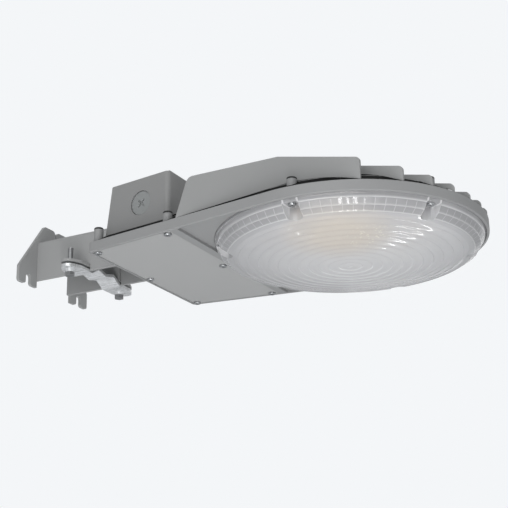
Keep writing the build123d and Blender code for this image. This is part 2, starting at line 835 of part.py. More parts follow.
def make_bracket():
    """Folded channel bracket: web, two side plates, wall flanges and front flanges."""
    rear = -bracket_rear
    front = -mount_pad_rear
    channel = block(rear, front, -plate_outer, plate_outer, plate_underside, web_top)
    top_edges = channel.edges().filter_by(Axis.X).group_by(Axis.Z)[-1]
    channel = fillet(top_edges, plate_thickness)
    facing_rear = Plane(origin=(rear, 0, 0), x_dir=(0, 1, 0), z_dir=(1, 0, 0))
    flanges = extrude(facing_rear * wall_flange(), plate_thickness)
    flanges -= block(rear - cut_past, front, -plate_outer, plate_outer, 0, plate_underside)
    ears = block(front - plate_thickness, front, -front_flange_half_width, front_flange_half_width,
                 front_flange_foot, web_top - plate_thickness)
    ears = fillet(ears.edges().filter_by(Axis.X), flange_corner_radius)
    body = channel + flanges + ears
    body -= block(rear - cut_past, front + cut_past, -plate_inner, plate_inner, 0, web_underside)
    body -= block(-rear_reach - bracket_notch_gap, front + cut_past, -nose_radius, nose_radius, 0,
                  front_flange_foot)
    notch = saddle_width / 2 + bracket_notch_gap
    notch_top = saddle_foot_underside + saddle_thickness + bracket_notch_gap
    body -= block(-clamp_to_lens - notch, -clamp_to_lens + notch, -plate_outer - cut_past,
                  plate_outer + cut_past, 0, notch_top)
    for y, z in bracket_bolt_places():
        body -= bar(front - plate_thickness - cut_past, front + cut_past, y, z,
                    bracket_bolt_radius + bolt_hole_gap)
    return body


def six_sided(across_flats):
    """Plan of a hexagon head from its width across flats."""
    return RegularPolygon(across_flats / sqrt(3), 6)


def make_bracket_bolts():
    """Bolts through the front flanges into the pad, heads to the rear."""
    seat = -mount_pad_rear - plate_thickness - bracket_washer_thickness
    group = []
    for y, z in bracket_bolt_places():
        facing = Plane(origin=(seat, y, z), x_dir=(0, 1, 0), z_dir=(-1, 0, 0))
        head = extrude(facing * six_sided(bracket_bolt_head_width), bracket_bolt_head_height)
        group.append(head + bar(seat, bracket_bolt_tip(), y, z, bracket_bolt_radius))
    return Compound(children=group)


def make_bracket_washers():
    """Flat washers under the bracket bolts."""
    seat = -mount_pad_rear - plate_thickness
    group = []
    for y, z in bracket_bolt_places():
        rear = seat - bracket_washer_thickness
        hole = bar(rear - cut_past, seat + cut_past, y, z, bracket_bolt_radius + bolt_hole_gap)
        group.append(bar(rear, seat, y, z, bracket_washer_radius) - hole)
    return Compound(children=group)


def tapered_tip(side, start, bottom, top):
    """One ear: straight, then tapering to a round end about its bolt."""
    bolt = side * clamp_bolt_spacing / 2
    plan = Pos(0, side * (start + (abs(bolt) - start) / 2)) * Rectangle(saddle_width, abs(bolt) - start)
    tip = Pos(0, side * (clamp_tip - clamp_tip_radius)) * Circle(clamp_tip_radius)
    plan = make_hull((plan + tip).edges())
    return Pos(-clamp_to_lens, 0) * slab(plan, bottom, top)


def make_saddle():
    """Painted saddle over the arm, with two threaded feet."""
    half = saddle_width / 2
    facing = Plane(origin=(-clamp_to_lens - half, 0, arm_axis_height), x_dir=(0, 1, 0), z_dir=(1, 0, 0))
    drop = arm_axis_height - saddle_foot_underside
    section = Circle(saddle_outer_radius)
    section += Pos(0, -drop / 2) * Rectangle(2 * saddle_outer_radius, drop)
    section -= Circle(saddle_inner_radius)
    section -= Pos(0, -drop) * Rectangle(2 * saddle_inner_radius, 2 * drop)
    below = Rectangle(3 * saddle_outer_radius, saddle_outer_radius)
    section -= Pos(0, -drop - saddle_outer_radius / 2) * below
    body = extrude(facing * section, saddle_width)
    start = saddle_inner_radius + saddle_thickness / 2
    for side in (-1, 1):
        body += tapered_tip(side, start, saddle_foot_underside, saddle_foot_underside + saddle_thickness)
    for x, y in clamp_bolt_places():
        body -= rod(x, y, 0, arm_axis_height, clamp_bolt_radius + thread_gap)
    return body


def make_strap():
    """Strap under the arm: two flat ears and a raised, slightly hollow middle."""
    bottom = strap_ear_underside
    peak = bottom + strap_peak_rise
    end = strap_ear_start + strap_ear_overlap
    near_half = [(-end, bottom), (-strap_ear_start, bottom), (-strap_peak, peak)]
    far_half = [(strap_peak, peak), (strap_ear_start, bottom), (end, bottom)]
    middle = (0, bottom + strap_middle_rise)
    line = FilletPolyline(*near_half, middle, *far_half, radius=strap_bend_radius)
    bent = offset(line, strap_thickness, side=Side.LEFT, closed=True)
    facing = Plane(origin=(-clamp_to_lens - strap_width / 2, 0, 0), x_dir=(0, 1, 0), z_dir=(1, 0, 0))
    body = extrude(facing * make_face(bent.edges()), strap_width)
    for side in (-1, 1):
        body += tapered_tip(side, end - cut_past, bottom, bottom + strap_thickness)
    for x, y in clamp_bolt_places():
        body -= rod(x, y, 0, arm_axis_height, clamp_bolt_radius + bolt_hole_gap)
    return body


def clamp_bolt_places():
    """X and Y of the two clamp bolts."""
    return [(-clamp_to_lens - clamp_bolt_set_back, side * clamp_bolt_spacing / 2) for side in (-1, 1)]


def clamp_disc(radius, low, high):
    """A washer on each clamp bolt."""
    group = []
    for x, y in clamp_bolt_places():
        hole = rod(x, y, low - cut_past, high + cut_past, clamp_bolt_radius + bolt_hole_gap)
        group.append(rod(x, y, low, high, radius) - hole)
    return Compound(children=group)


def make_clamp_bolts():
    """Hexagon bolts up through the strap into the saddle's feet."""
    seat = strap_ear_underside - clamp_washer_thickness - clamp_lock_washer_thickness
    group = []
    for x, y in clamp_bolt_places():
        plan = Pos(x, y) * six_sided(clamp_bolt_head_width)
        head = slab(plan, seat - clamp_bolt_head_height, seat)
        shank = rod(x, y, seat, clamp_bolt_top, clamp_bolt_radius)
        group.append(head + chamfer(shank.faces().sort_by(Axis.Z)[-1].edges(), clamp_bolt_chamfer))
    return Compound(children=group)


def make_all():
    """Every node by name, in the lamp's own frame."""
    washer_foot = strap_ear_underside - clamp_washer_thickness
    lock_washer_foot = washer_foot - clamp_lock_washer_thickness
    screw_tip = screw_reach - screw_tip_gap
    return {
        "bottom_frame": make_frame(),
        "top_housing": make_housing(),
        "cooling_fins": make_fins(),
        "shoulder_seal": make_seal(),
        "post_caps": make_post_caps(),
        "lens": make_lens(),
        "lens_gasket": make_lens_gasket(),
        "lens_screws": screws(lens_screw_places(), -pocket_floor_depth - screw_head_height, screw_head_height,
                              screw_head_radius, screw_tip, screw_radius),
        "reflector": make_reflector(),
        "led_board": make_board(),
        "led_emitter": rod(0, 0, board_foot - emitter_thickness, board_foot, emitter_radius),
        "thermal_pad": make_thermal_pad(),
        "led_board_screws": screws(board_screw_places(), board_foot - board_screw_head_height,
                                   board_screw_head_height, board_screw_head_radius,
                                   board_foot + board_screw_reach, board_screw_radius),
        "driver_cover": make_cover(),
        "driver_cover_gasket": make_cover_gasket(),
        "driver_cover_screws": screws(cover_screw_places(), cover_foot - screw_head_height, screw_head_height,
                                      screw_head_radius, screw_tip, screw_radius),
        "led_driver": make_driver(),
        "driver_end_caps": make_driver_caps(),
        "driver_screws": make_driver_screws(),
        "terminal_block": make_terminal_block(),
        "supply_leads": make_supply_leads(),
        "led_leads": make_led_leads(),
        "wire_grommet": make_grommet(),
        "knockout_plug": make_knockout_plug(),
        "knockout_ring": make_knockout_ring(),
        "arm_bracket": make_bracket(),
        "bracket_bolts": make_bracket_bolts(),
        "bracket_washers": make_bracket_washers(),
        "pipe_saddle": make_saddle(),
        "clamp_strap": make_strap(),
        "clamp_bolts": make_clamp_bolts(),
        "clamp_washers": clamp_disc(clamp_washer_radius, washer_foot, strap_ear_underside),
        "clamp_lock_washers": clamp_disc(clamp_lock_washer_radius, lock_washer_foot, washer_foot),
    }


for name, shape in make_all().items():
    moved = to_arm_axis * shape
    export_step(moved, f"parts/{name}.step")
    bounds = moved.bounding_box()
    print(name, len(moved.solids()), moved.is_valid, [round(v, 2) for v in (*bounds.min, *bounds.max)])
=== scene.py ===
"""Barn light on an arm bracket: finishes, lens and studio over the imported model.

Every length is in metres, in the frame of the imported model: +X forward along the arm to the
lens, +Y across and away from the knockout, +Z up, with the origin on the axis of the arm. Only
the lens's own sizes are in millimetres.
"""
import logging
import math
from dataclasses import dataclass, field
from enum import Enum
from typing import NamedTuple

import bmesh
import bpy
import numpy as np
from mathutils import Matrix, Vector


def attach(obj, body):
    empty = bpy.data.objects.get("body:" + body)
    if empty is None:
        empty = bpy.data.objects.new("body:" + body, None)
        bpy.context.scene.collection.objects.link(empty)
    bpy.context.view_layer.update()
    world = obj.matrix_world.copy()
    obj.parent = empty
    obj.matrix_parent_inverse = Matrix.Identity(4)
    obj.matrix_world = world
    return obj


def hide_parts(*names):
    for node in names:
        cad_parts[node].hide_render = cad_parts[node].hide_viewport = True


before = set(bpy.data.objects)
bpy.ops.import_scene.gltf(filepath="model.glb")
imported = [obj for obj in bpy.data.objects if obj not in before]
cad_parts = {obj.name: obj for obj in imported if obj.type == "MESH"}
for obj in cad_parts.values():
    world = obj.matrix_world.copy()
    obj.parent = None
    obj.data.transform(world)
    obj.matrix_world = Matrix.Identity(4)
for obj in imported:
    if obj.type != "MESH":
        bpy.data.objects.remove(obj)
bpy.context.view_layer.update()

LOG = logging.getLogger("barn_light")
Triple = tuple[float, float, float]
Pair = tuple[float, float]
Socket = bpy.types.NodeSocket
MM = 0.001
LENS_CENTRE: Triple = (0.259, 0.0, -0.021)

# Spans of a noise's values: one that holds most of them, and one that holds nearly all.
NOISE_MIDDLE: Pair = (0.3, 0.7)
NOISE_WIDE: Pair = (0.2, 0.8)


def grid_faces(rows: int, columns: int) -> np.ndarray:
    """Corners of the quads of a grid of points stored row by row, where each row joins its own start.

    Args:
        rows: how many points along a column.
        columns: how many points along a row.

    Returns:
        One row of four point numbers per quad.
    """
    row, column = np.meshgrid(np.arange(rows - 1), np.arange(columns), indexing="ij")
    after = (column + 1) % columns
    return np.stack([row * columns + column, row * columns + after,
                     (row + 1) * columns + after, (row + 1) * columns + column], -1).reshape(-1, 4)


def mesh_piece(name: str, points: np.ndarray, faces: np.ndarray, body: str, marks: dict[str, np.ndarray],
               smooth_angle: float = 40.0, merge: float = 2e-6) -> bpy.types.Object:
    """Makes a mesh object in place, merges doubled points and turns its faces outwards.

    Args:
        name: the piece's name.
        points: one row of three coordinates per point.
        faces: one row of four point numbers per quad.
        body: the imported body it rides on.
        marks: values from 0 to 1 kept on the points for the finish, by name.
        smooth_angle: edges sharper than this, in degrees, stay sharp.
        merge: points nearer than this become one.

    Returns:
        The new object, riding on the body.
    """
    mesh = bpy.data.meshes.new(name)
    mesh.from_pydata(points.tolist(), [], faces.tolist())
    for mark, values in marks.items():
        layer = mesh.attributes.new(mark, "FLOAT", "POINT")
        layer.data.foreach_set("value", values.astype(np.float32).ravel())
    work = bmesh.new()
    work.from_mesh(mesh)
    bmesh.ops.remove_doubles(work, verts=work.verts, dist=merge)
    bmesh.ops.dissolve_degenerate(work, edges=work.edges, dist=merge)
    bmesh.ops.recalc_face_normals(work, faces=work.faces)
    work.to_mesh(mesh)
    work.free()
    mesh.shade_smooth()
    mesh.set_sharp_from_angle(angle=math.radians(smooth_angle))
    piece = bpy.data.objects.new(name, mesh)
    bpy.context.scene.collection.objects.link(piece)
    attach(piece, body)
    return piece


def new_group(name: str, inputs: dict[str, str], outputs: dict[str, str]) -> bpy.types.NodeTree:
    """An empty shader node group with named sockets.

    Args:
        name: the group's name.
        inputs: socket name to its kind, such as Float or Color.
        outputs: socket name to its kind.

    Returns:
        The group's tree, with its input and output nodes in place.
    """
    tree = bpy.data.node_groups.new(name, "ShaderNodeTree")
    for way, sockets in (("INPUT", inputs), ("OUTPUT", outputs)):
        for socket, kind in sockets.items():
            tree.interface.new_socket(name=socket, in_out=way, socket_type=f"NodeSocket{kind}")
    tree.nodes.new("NodeGroupInput").name = "in"
    tree.nodes.new("NodeGroupOutput").name = "out"
    return tree


def scaled(colour: Triple, gain: float) -> Triple:
    """A colour times a gain, up to white."""
    return tuple(min(1.0, share * gain) for share in colour)


class Wiring:
    """Short ways to add and join nodes in one tree."""

    # Where the Mix node keeps its colour sockets.
    FIRST_COLOUR = 6
    SECOND_COLOUR = 7
    MIXED_COLOUR = 2

    def __init__(self, tree: bpy.types.NodeTree) -> None:
        """Keeps the tree."""
        self.tree = tree

    def node(self, kind: str, **values: object) -> bpy.types.Node:
        """Adds a node.

        Args:
            kind: the node's type.
            values: its own properties, by name.

        Returns:
            The new node.
        """
        made = self.tree.nodes.new(kind)
        for name, value in values.items():
            setattr(made, name, value)
        return made

    def feed(self, target: Socket, source: object) -> None:
        """Joins an input to an output, or sets its value.

        Args:
            target: the input.
            source: an output or a value. A colour is three numbers and gets full cover.
        """
        if isinstance(source, Socket):
            self.tree.links.new(source, target)
        else:
            target.default_value = (*source, 1.0) if target.type == "RGBA" else source

    def fill(self, node: bpy.types.Node, **sources: object) -> bpy.types.Node:
        """Feeds a node's inputs by name.

        Args:
            node: the node.
            sources: what feeds each input, with the spaces in its name written as underscores.

        Returns:
            The same node.
        """
        for name, source in sources.items():
            self.feed(node.inputs[name.replace("_", " ")], source)
        return node

    def fill_in_order(self, node: bpy.types.Node, *sources: object) -> bpy.types.Node:
        """Feeds a node's inputs in their order.

        Args:
            node: the node.
            sources: what feeds the first input, the second and so on.

        Returns:
            The same node.
        """
        for socket, source in zip(node.inputs, sources):
            self.feed(socket, source)
        return node

    def group(self, tree: bpy.types.NodeTree, **sources: object) -> bpy.types.Node:
        """Places a shared effect and feeds its inputs by name."""
        return self.fill(self.node("ShaderNodeGroup", node_tree=tree), **sources)

    def place(self) -> Socket:
        """The place of each point on the object."""
        return self.node("ShaderNodeTexCoord").outputs["Object"]

    def part(self, vector: Socket, axis: str) -> Socket:
        """One axis of a vector."""
        return self.fill(self.node("ShaderNodeSeparateXYZ"), Vector=vector).outputs[axis]

    def math(self, kind: str, *sources: object) -> Socket:
        """One sum, product or other step on values."""
        return self.fill_in_order(self.node("ShaderNodeMath", operation=kind), *sources).outputs[0]

    def times(self, first: object, *others: object) -> Socket:
        """The product of two values or more.

        Args:
            first: the first value.
            others: what it is multiplied by.

        Returns:
            The product.
        """
        for other in others:
            first = self.math("MULTIPLY", first, other)
        return first

    def vector_math(self, kind: str, *sources: object) -> bpy.types.Node:
        """A node that takes one step on vectors."""
        return self.fill_in_order(self.node("ShaderNodeVectorMath", operation=kind), *sources)

    def away(self, place: Socket, centre: Triple) -> Socket:
        """How far a place is from a centre."""
        return self.vector_math("DISTANCE", place, centre).outputs["Value"]

    def noise(self, vector: Socket, scale: object, detail: float = 3.0, rough: float = 0.5) -> Socket:
        """Soft noise from 0 to 1 at a place, by its scale, its finer layers and how strong each is."""
        made = self.node("ShaderNodeTexNoise")
        return self.fill(made, Vector=vector, Scale=scale, Detail=detail, Roughness=rough).outputs["Fac"]

    def stretch(self, vector: Socket, scale: Triple) -> Socket:
        """A place multiplied axis by axis."""
        return self.fill(self.node("ShaderNodeMapping"), Vector=vector, Scale=scale).outputs["Vector"]

    def spread(self, value: Socket, low: float, high: float, to_low: float = 0.0,
               to_high: float = 1.0) -> Socket:
        """Maps a value evenly from one range to another and holds it inside."""
        made = self.node("ShaderNodeMapRange")
        return self.fill_in_order(made, value, low, high, to_low, to_high).outputs[0]

    def mix(self, share: Socket, first: object, second: object) -> Socket:
        """A colour between two colours.

        Args:
            share: 0 for the first, 1 for the second.
            first: one colour.
            second: the other.

        Returns:
            The mixed colour.
        """
        made = self.fill(self.node("ShaderNodeMix", data_type="RGBA"), Factor=share)
        self.feed(made.inputs[self.FIRST_COLOUR], first)
        self.feed(made.inputs[self.SECOND_COLOUR], second)
        return made.outputs[self.MIXED_COLOUR]

    def bump(self, height: Socket, depth: float, normal: Socket | None = None) -> Socket:
        """A surface normal tilted by a height.

        Args:
            height: the height, from 0 to 1.
            depth: how deep a height of 1 is.
            normal: the normal to start from, if it isn't the mesh's own.

        Returns:
            The tilted normal.
        """
        made = self.fill(self.node("ShaderNodeBump"), Height=height, Distance=depth)
        if normal is not None:
            self.fill(made, Normal=normal)
        return made.outputs["Normal"]

    def blend(self, share: Socket, first: Socket, second: Socket) -> Socket:
        """A mix of two shaders, all of the second where the share is 1."""
        return self.fill_in_order(self.node("ShaderNodeMixShader"), share, first, second).outputs[0]

    def show(self, source: Socket, output: str = "Material Output") -> None:
        """Makes a shader what the material or the world shows."""
        self.fill(self.tree.nodes[output], Surface=source)


@dataclass
class Effects:
    """The shader node groups that several finishes share, each built once.

    A noise's numbers come in this order: scale in waves per metre, detail, roughness. The peel and the
    blotches take their scale from the finish, and so do the streaks, by the stretch of their place.
    """

    peel_detail: float = 2.0
    cloud: Triple = (14.0, 4.0, 0.55)
    fleck: Pair = (3200.0, 1.0)
    fleck_gain: float = 0.06
    coat_roughness: Pair = (0.42, 0.52)
    bevel_samples: int = 4
    edge_from: float = 0.985
    edge_to: float = 0.80
    streaks: Pair = (1.0, 2.0)
    blotch_detail: Pair = (3.0, 0.6)
    film: Triple = (40.0, 5.0, 0.65)
    film_span: Pair = (0.35, 0.75)
    film_slope: Pair = (0.3, 1.0)
    coat: bpy.types.NodeTree = field(init=False)
    edges: bpy.types.NodeTree = field(init=False)
    grain: bpy.types.NodeTree = field(init=False)
    dust: bpy.types.NodeTree = field(init=False)

    def __post_init__(self) -> None:
        """Builds every group."""
        self.coat = self.build_coat()
        self.edges = self.build_edges()
        self.grain = self.build_grain()
        self.dust = self.build_dust()

    def build_coat(self) -> bpy.types.NodeTree:
        """Powder coat: fine orange peel, a slow change of tone and a fleck in the colour.

        The colour is multiplied by 1 plus the slow noise's distance from its middle times the tone,
        plus the fleck's distance from its middle times its gain.

        Returns:
            The group.
        """
        tree = new_group("powder_coat", {"Peel size": "Float", "Tone": "Float", "Colour": "Color"},
                         {"Colour": "Color", "Roughness": "Float", "Height": "Float"})
        w = Wiring(tree)
        given, out = tree.nodes["in"].outputs, tree.nodes["out"]
        place = w.place()
        slow = w.noise(place, *self.cloud)
        shade = w.math("MULTIPLY_ADD", w.math("SUBTRACT", slow, 0.5), given["Tone"], 1.0)
        fleck = w.times(w.math("SUBTRACT", w.noise(place, *self.fleck), 0.5), self.fleck_gain)
        tinted = w.fill(w.vector_math("SCALE", given["Colour"]), Scale=w.math("ADD", shade, fleck))
        w.fill(out, Colour=tinted.outputs[0], Roughness=w.spread(slow, *NOISE_MIDDLE, *self.coat_roughness),
               Height=w.noise(place, given["Peel size"], self.peel_detail))
        return tree

    def build_edges(self) -> bpy.types.NodeTree:
        """A mask that is 1 along outer edges, from the angle between the face and its rounded normal.

        Returns:
            The group.
        """
        tree = new_group("edge_mask", {"Width": "Float"}, {"Mask": "Float", "Normal": "Vector"})
        w = Wiring(tree)
        rounded = w.fill(w.node("ShaderNodeBevel", samples=self.bevel_samples),
                         Radius=tree.nodes["in"].outputs["Width"]).outputs["Normal"]
        face = w.node("ShaderNodeNewGeometry").outputs["True Normal"]
        alike = w.vector_math("DOT_PRODUCT", rounded, face).outputs["Value"]
        w.fill(tree.nodes["out"], Mask=w.spread(alike, self.edge_from, self.edge_to), Normal=rounded)
        return tree

    def build_grain(self) -> bpy.types.NodeTree:
        """Metal grain: fine streaks along one axis, with a soft blotch for plated zinc.

        Returns:
            The group.
        """
        tree = new_group("metal_grain", {"Streak": "Vector", "Blotch": "Float"},
                         {"Streaks": "Float", "Blotches": "Float"})
        w = Wiring(tree)
        given, place = tree.nodes["in"].outputs, w.place()
        along = w.vector_math("MULTIPLY", place, given["Streak"]).outputs[0]
        w.fill(tree.nodes["out"], Streaks=w.noise(along, *self.streaks),
               Blotches=w.noise(place, given["Blotch"], *self.blotch_detail))
        return tree

    def build_dust(self) -> bpy.types.NodeTree:
        """A thin, uneven film that gathers on faces that look up.

        Returns:
            The group.
        """
        tree = new_group("dust", {"Amount": "Float"}, {"Mask": "Float"})
        w = Wiring(tree)
        up = w.spread(w.part(w.node("ShaderNodeNewGeometry").outputs["Normal"], "Z"), *self.film_slope)
        patchy = w.spread(w.noise(w.place(), *self.film), *self.film_span)
        w.fill(tree.nodes["out"], Mask=w.times(up, patchy, tree.nodes["in"].outputs["Amount"]))
        return tree


def shader(name: str) -> tuple[bpy.types.Material, Wiring, bpy.types.Node]:
    """A new material.

    Args:
        name: its name.

    Returns:
        The material, its wiring and its Principled shader.
    """
    material = bpy.data.materials.new(name)
    material.use_nodes = True
    return material, Wiring(material.node_tree), material.node_tree.nodes["Principled BSDF"]


@dataclass(frozen=True)
class PaintedMetal:
    """Powder-coated metal with a soft orange peel, slightly worn edges and a little dust.

    Where a height is given for painted shade, the faces that slope up and lie below it are painted black and
    without gloss, as deep shade.
    """

    name: str
    colour: Triple
    peel_size: float = 900.0
    peel_depth: float = 0.00003
    edge_width: float = 0.0006
    edge_gain: float = 1.25
    edge_share: float = 0.7
    tone: float = 0.08
    shine: float = 0.4
    dust: float = 0.12
    dust_colour: Triple = (0.42, 0.41, 0.39)
    # Painted shade: black on upward-sloping faces below this height, standing in for the deep shade there.
    painted_shade_below: float | None = None
    slope_blur: float = 0.0004
    slope_steep: Pair = (0.70, 0.76)
    slope_flat: Pair = (0.95, 0.9)
    painted_shade_colour: Triple = (0.006, 0.006, 0.006)

    def painted_shade_mask(self, w: Wiring) -> Socket:
        """A mask of the faces that slope up and lie below the height.

        Args:
            w: the material's wiring.

        Returns:
            The painted shade's mask: neither too steep nor too flat, times below the height.
        """
        up = w.part(w.node("ShaderNodeNewGeometry").outputs["True Normal"], "Z")
        low = w.spread(w.part(w.place(), "Z"), self.painted_shade_below + self.slope_blur,
                       self.painted_shade_below - self.slope_blur)
        return w.times(w.spread(up, *self.slope_steep), w.spread(up, *self.slope_flat), low)

    def build(self, effects: Effects) -> bpy.types.Material:
        """Builds the material from the shared coat, edge and dust groups.

        Args:
            effects: the shared node groups.

        Returns:
            The finished material.
        """
        material, w, principled = shader(self.name)
        coat = w.group(effects.coat, Peel_size=self.peel_size, Tone=self.tone, Colour=self.colour).outputs
        edges = w.group(effects.edges, Width=self.edge_width).outputs
        dust = w.group(effects.dust, Amount=self.dust).outputs
        worn = w.mix(w.times(edges["Mask"], self.edge_share), coat["Colour"],
                     scaled(self.colour, self.edge_gain))
        w.fill(principled, Base_Color=w.mix(dust["Mask"], worn, self.dust_colour),
               Roughness=coat["Roughness"], Specular_IOR_Level=self.shine,
               Normal=w.bump(coat["Height"], self.peel_depth, edges["Normal"]))
        # Painted shade: where the mask is 1, a black diffuse shader stands in for the deep shade.
        if self.painted_shade_below is not None:
            painted_shade_shader = w.fill(w.node("ShaderNodeBsdfDiffuse"), Color=self.painted_shade_colour)
            w.show(w.blend(self.painted_shade_mask(w), principled.outputs[0], painted_shade_shader.outputs[0]))
        return material


@dataclass(frozen=True)
class PlatedMetal:
    """Bright zinc plate or steel, with grain, blotches and bright edges."""

    name: str
    colour: Triple
    streak: Triple = (60.0, 2500.0, 2500.0)
    blotch: float = 160.0
    roughness: Pair = (0.22, 0.38)
    metallic: float = 1.0
    edge_width: float = 0.0004
    edge_gain: float = 1.15
    dark_gain: float = 0.78
    grain_depth: float = 0.00001

    def build(self, effects: Effects) -> bpy.types.Material:
        """Builds the material from the shared grain and edge groups.

        Args:
            effects: the shared node groups.

        Returns:
            The finished material.
        """
        material, w, principled = shader(self.name)
        grain = w.group(effects.grain, Streak=self.streak, Blotch=self.blotch).outputs
        edges = w.group(effects.edges, Width=self.edge_width).outputs
        tone = w.mix(w.spread(grain["Blotches"], *NOISE_MIDDLE), scaled(self.colour, self.dark_gain),
                     self.colour)
        w.fill(principled, Base_Color=w.mix(edges["Mask"], tone, scaled(self.colour, self.edge_gain)),
               Roughness=w.spread(grain["Streaks"], *NOISE_MIDDLE, *self.roughness),
               Metallic=self.metallic,
               Normal=w.bump(grain["Streaks"], self.grain_depth, edges["Normal"]))
        return material


@dataclass(frozen=True)
class MouldedRubber:
    """Matt rubber or silicone with a fine mould texture, a pale bloom and a little dust."""

    name: str
    colour: Triple
    bloom: Triple = (0.05, 0.05, 0.05)
    bloom_noise: Triple = (60.0, 4.0, 0.6)
    bloom_span: Pair = (0.35, 0.75)
    texture: Pair = (1500.0, 2.0)
    texture_depth: float = 0.00003
    roughness: float = 0.7
    smoother: float = 0.08
    rougher: float = 0.1
    shine: float = 0.4
    dust: float = 0.1
    dust_colour: Triple = (0.20, 0.19, 0.18)

    def build(self, effects: Effects) -> bpy.types.Material:
        """Builds the material from noise at two scales and the shared dust group.

        Args:
            effects: the shared node groups.

        Returns:
            The finished material.
        """
        material, w, principled = shader(self.name)
        place = w.place()
        fine = w.noise(place, *self.texture)
        pale = w.spread(w.noise(place, *self.bloom_noise), *self.bloom_span)
        dust = w.group(effects.dust, Amount=self.dust).outputs
        w.fill(principled,
               Base_Color=w.mix(dust["Mask"], w.mix(pale, self.colour, self.bloom), self.dust_colour),
               Roughness=w.spread(fine, *NOISE_WIDE, self.roughness - self.smoother,
                                  self.roughness + self.rougher),
               Specular_IOR_Level=self.shine, Normal=w.bump(fine, self.texture_depth))
        return material


@dataclass(frozen=True)
class MouldedPlastic:
    """Gloss or satin plastic with faint flow marks.

    Where middle is set, that colour lies round the lens axis as a painted glow of the light source, full
    within middle_from and gone at middle_to.
    """

    name: str
    colour: Triple
    roughness: float = 0.35
    smoother: float = 0.05
    rougher: float = 0.08
    texture: Pair = (700.0, 2.0)
    texture_depth: float = 0.00001
    flow_stretch: Triple = (20.0, 60.0, 20.0)
    flow_span: Pair = (0.35, 0.65)
    dark_gain: float = 0.9
    edge_width: float = 0.0004
    middle: Triple | None = None
    middle_from: float = 0.03
    middle_to: float = 0.06

    def build(self, effects: Effects) -> bpy.types.Material:
        """Builds the material from noise at two scales and the shared edge group.

        Args:
            effects: the shared node groups.

        Returns:
            The finished material.
        """
        material, w, principled = shader(self.name)
        place = w.place()
        fine = w.noise(place, *self.texture)
        flow = w.spread(w.noise(w.stretch(place, self.flow_stretch), 1.0), *self.flow_span)
        edges = w.group(effects.edges, Width=self.edge_width).outputs
        tone = w.mix(flow, scaled(self.colour, self.dark_gain), self.colour)
        # Painted glow: the light source's warm light on the reflector round the lens axis.
        if self.middle is not None:
            level = w.stretch(place, (1.0, 1.0, 0.0))
            from_axis = w.away(level, (*LENS_CENTRE[:2], 0.0))
            tone = w.mix(w.spread(from_axis, self.middle_to, self.middle_from), tone, self.middle)
        w.fill(principled, Base_Color=tone,
               Roughness=w.spread(fine, *NOISE_WIDE, self.roughness - self.smoother,
                                  self.roughness + self.rougher),
               Normal=w.bump(fine, self.texture_depth, edges["Normal"]))
        return material


